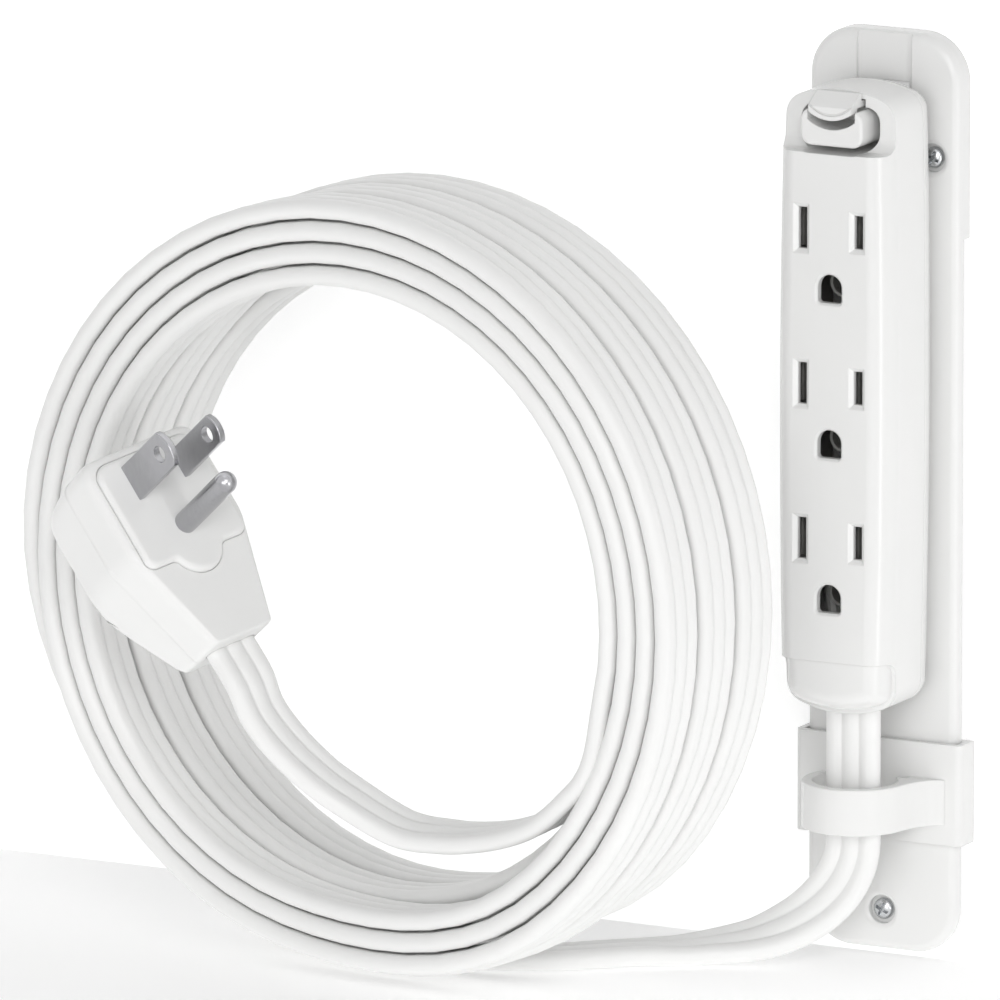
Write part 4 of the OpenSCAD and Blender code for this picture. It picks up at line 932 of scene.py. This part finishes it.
def makePlugFace():
    rings = []
    outline = faceOutline()
    middle = Vector((0, -0.0145))
    for z, grow in ((-0.0048, 0), (-0.0012, 0), (-0.00085, -0.00008), (-0.00055, -0.00025), (-0.0003, -0.0005),
                    (-0.00012, -0.0009), (0, -0.0015)):
        rings.append([tuple(Vector(p) + (middle - Vector(p)).normalized() * -grow) + (z,) for p in outline])
    bm = loft(rings)
    bmesh.ops.transform(bm, matrix=plugMatrix, verts=bm.verts[:])
    return finishPiece(newObject("plugFace", bm), vinyl, "bracket", ("plug_face",), angle=50)


def makeBlade(name, side, width, node):
    length, thick, half = plug["bladeReach"], 0.0015, width / 2
    nose = half * 1.25
    spread = atan2(half, sqrt(nose * nose - half * half))
    tip = [(nose * sin(a), length - nose + nose * cos(a)) for a in (spread * (1 - k / 8) for k in range(17))]
    outline = [(half, -0.0065)] + tip + [(-half, -0.0065)]
    x0 = side * plug["bladeSpacing"] / 2
    bm = loft([[(x, y - plug["bladeLine"], z) for y, z in outline] for x in (x0 - thick / 2, x0 + thick / 2)])
    bevelWhere(bm, lambda e: abs(e.verts[0].co.x - e.verts[1].co.x) < 1e-6 and e.calc_face_angle(0) > 0.8, 0.0002, 3)
    hole = lathe([(0, -0.002), (0.0018, -0.002), (0.0018, 0.002), (0, 0.002)], 32,
                 (x0, -plug["bladeLine"], length - 0.0042), (1, 0, 0))
    for mesh in (bm, hole):
        bmesh.ops.transform(mesh, matrix=plugMatrix, verts=mesh.verts[:])
    piece = newObject(name, bm)
    carve(piece, [hole])
    return finishPiece(piece, nickel, "bracket", (node,), angle=40)


def makePin():
    r, reach = 0.002375, plug["pinReach"]
    tip = [(r * cos(radians(a)), reach - r + r * sin(radians(a))) for a in range(0, 91, 9)]
    bm = lathe([(0, -0.0065), (r, -0.0065), (r, 0.001), (r, reach * 0.5)] + tip[:-1] + [(0, reach)], 40,
               (0, -plug["pinLine"], 0))
    bmesh.ops.transform(bm, matrix=plugMatrix, verts=bm.verts[:])
    return finishPiece(newObject("earthPin", bm), nickel, "bracket", ("plug_earth_pin",), angle=50)


plugBody = makePlugBody()
plugPieces = [plugBody, makePlugFace(),
              makeBlade("neutralBlade", -1, 0.0079, "plug_neutral_blade"),
              makeBlade("lineBlade", 1, 0.00635, "plug_line_blade"), makePin()]

# ---------- finishes of the pieces that stay as they are ----------
finishes = {"strip_screws": zinc, "neutral_contacts": tin, "line_contacts": tin, "earth_contacts": tin,
            "neutral_wire": whiteWire, "line_wire": blackWire, "earth_wire": greenWire, "cord_grip": nylon,
            "plug_neutral_wire": whiteWire, "plug_line_wire": blackWire, "plug_earth_wire": greenWire,
            "strip_front_cover": abs_, "strip_back_cover": abs_, "wall_bracket": abs_, "release_tab": abs_,
            "cord_clip": abs_, "wall_screws": zinc, "strip_cord_end": sheath, "cord_run": sheath,
            "cord_coil": sheath, "cord_tail": sheath, "plug_body": vinyl, "plug_face": vinyl,
            "plug_neutral_blade": nickel, "plug_line_blade": nickel, "plug_earth_pin": nickel}
for name, material in finishes.items():
    slots = nodes[name].data.materials
    if len(slots):
        for i in range(len(slots)):
            slots[i] = material
    else:
        slots.append(material)
print("finishes set")

# ---------- stage and light ----------
stage = {"floor": -0.0979, "colour": "#fafafa", "lift": 0.24, "glow": 0.42, "wallLift": 0.36}


def stageMaterial(name, lift, glowing, oneSided):
    # Pale matt card that looks white to the camera and in reflections, and keeps its close shadows
    material = bpy.data.materials.new(name)
    material.use_nodes = True
    tree = material.node_tree
    tree.nodes.remove(tree.nodes["Principled BSDF"])
    out = tree.nodes["Material Output"]
    card = addNode(tree, "ShaderNodeBsdfDiffuse", {"Color": fromHex(stage["colour"])})
    rays = addNode(tree, "ShaderNodeLightPath")
    seen = addNode(tree, "ShaderNodeMath", {"operation": "MAXIMUM"})
    tree.links.new(rays.outputs["Is Camera Ray"], seen.inputs[0])
    tree.links.new(rays.outputs["Is Glossy Ray"], seen.inputs[1])
    level = addNode(tree, "ShaderNodeMapRange", {"To Min": glowing, "To Max": lift}, {"Value": seen.outputs[0]})
    glow = addNode(tree, "ShaderNodeEmission", {"Color": (1, 1, 1, 1)}, {"Strength": level.outputs["Result"]})
    last = addNode(tree, "ShaderNodeAddShader")
    tree.links.new(card.outputs[0], last.inputs[0])
    tree.links.new(glow.outputs[0], last.inputs[1])
    if oneSided:
        clear = addNode(tree, "ShaderNodeBsdfTransparent")
        side = addNode(tree, "ShaderNodeNewGeometry")
        both = last
        last = addNode(tree, "ShaderNodeMixShader", {}, {"Fac": side.outputs["Backfacing"]})
        tree.links.new(both.outputs[0], last.inputs[1])
        tree.links.new(clear.outputs[0], last.inputs[2])
    tree.links.new(last.outputs[0], out.inputs["Surface"])
    return material


def makeStage():
    bm = bmesh.new()
    bmesh.ops.create_grid(bm, x_segments=1, y_segments=1, size=1.5)
    bmesh.ops.translate(bm, vec=(0.22 - 1.5, 0.0002 - 1.5, stage["floor"]), verts=bm.verts[:])
    floor = newObject("floor", bm)
    floor.data.materials.append(stageMaterial("floorCard", stage["lift"], stage["glow"], False))
    # the wall is open behind the bracket, so that light reaches the bracket's back
    bm = bmesh.new()
    low, high = stage["floor"], stage["floor"] + 3
    half, inset = bracket["height"] / 2, 0.0004
    opening = roundedOutline(bracket["railWidth"] - 2 * inset, inset - half, half - inset, bracket["corner"] - inset)
    edges = (addLoop(bm, facing([(-1.5, low), (1.5, low), (1.5, high), (-1.5, high)], -0.0002))
             + addLoop(bm, facing(opening, -0.0002)))
    bmesh.ops.triangle_fill(bm, use_beauty=True, edges=edges, normal=(0, -1, 0))
    # a patch behind the tongue's slot, which looks through to the wall
    side, low, high = strip["tabWidth"] / 2 + 0.001, bracket["tongueLow"] - 0.0012, bracket["tongueHigh"] + 0.0014
    patch = facing([(-side, low), (side, low), (side, high), (-side, high)], -0.0002)
    bm.faces.new([bm.verts.new(p) for p in patch])
    wall = newObject("wall", bm)
    wall.data.materials.append(stageMaterial("wallCard", stage["wallLift"], 0.0, True))


def areaLight(name, place, aim, size, power):
    data = bpy.data.lights.new(name, "AREA")
    data.shape = "RECTANGLE"
    data.size, data.size_y = size
    data.energy = power
    light = bpy.data.objects.new(name, data)
    bpy.context.scene.collection.objects.link(light)
    light.location = place
    light.rotation_euler = (Vector(aim) - Vector(place)).to_track_quat("-Z", "Y").to_euler()


def makeWorld():
    world = bpy.data.worlds.new("studio")
    bpy.context.scene.world = world
    world.use_nodes = True
    tree = world.node_tree
    rays = addNode(tree, "ShaderNodeLightPath")
    seen = addNode(tree, "ShaderNodeMath", {"operation": "MAXIMUM"})
    tree.links.new(rays.outputs["Is Camera Ray"], seen.inputs[0])
    tree.links.new(rays.outputs["Is Glossy Ray"], seen.inputs[1])
    level = addNode(tree, "ShaderNodeMapRange", {"To Min": 0.37, "To Max": 1.0}, {"Value": seen.outputs[0]})
    back = tree.nodes["Background"]
    back.inputs["Color"].default_value = (1, 1, 1, 1)
    tree.links.new(level.outputs["Result"], back.inputs["Strength"])


makeStage()
makeWorld()
areaLight("key", (1.0, -1.7, 0.9), (-0.06, -0.03, 0), (0.8, 0.8), 8.5)
areaLight("edge", (1.65, -0.9, -0.3), (0, -0.02, 0), (0.22, 1.3), 6.0)  # low, as the upright faces mirror downwards
areaLight("fill", (0.3, -2.3, 0.25), (-0.06, -0.03, 0), (1.4, 1.0), 10.2)
areaLight("top", (-0.2, -0.5, 1.6), (-0.06, -0.03, 0), (1.0, 0.7), 1.0)
bpy.context.scene.view_settings.view_transform = "Standard"
print("stage and light set")
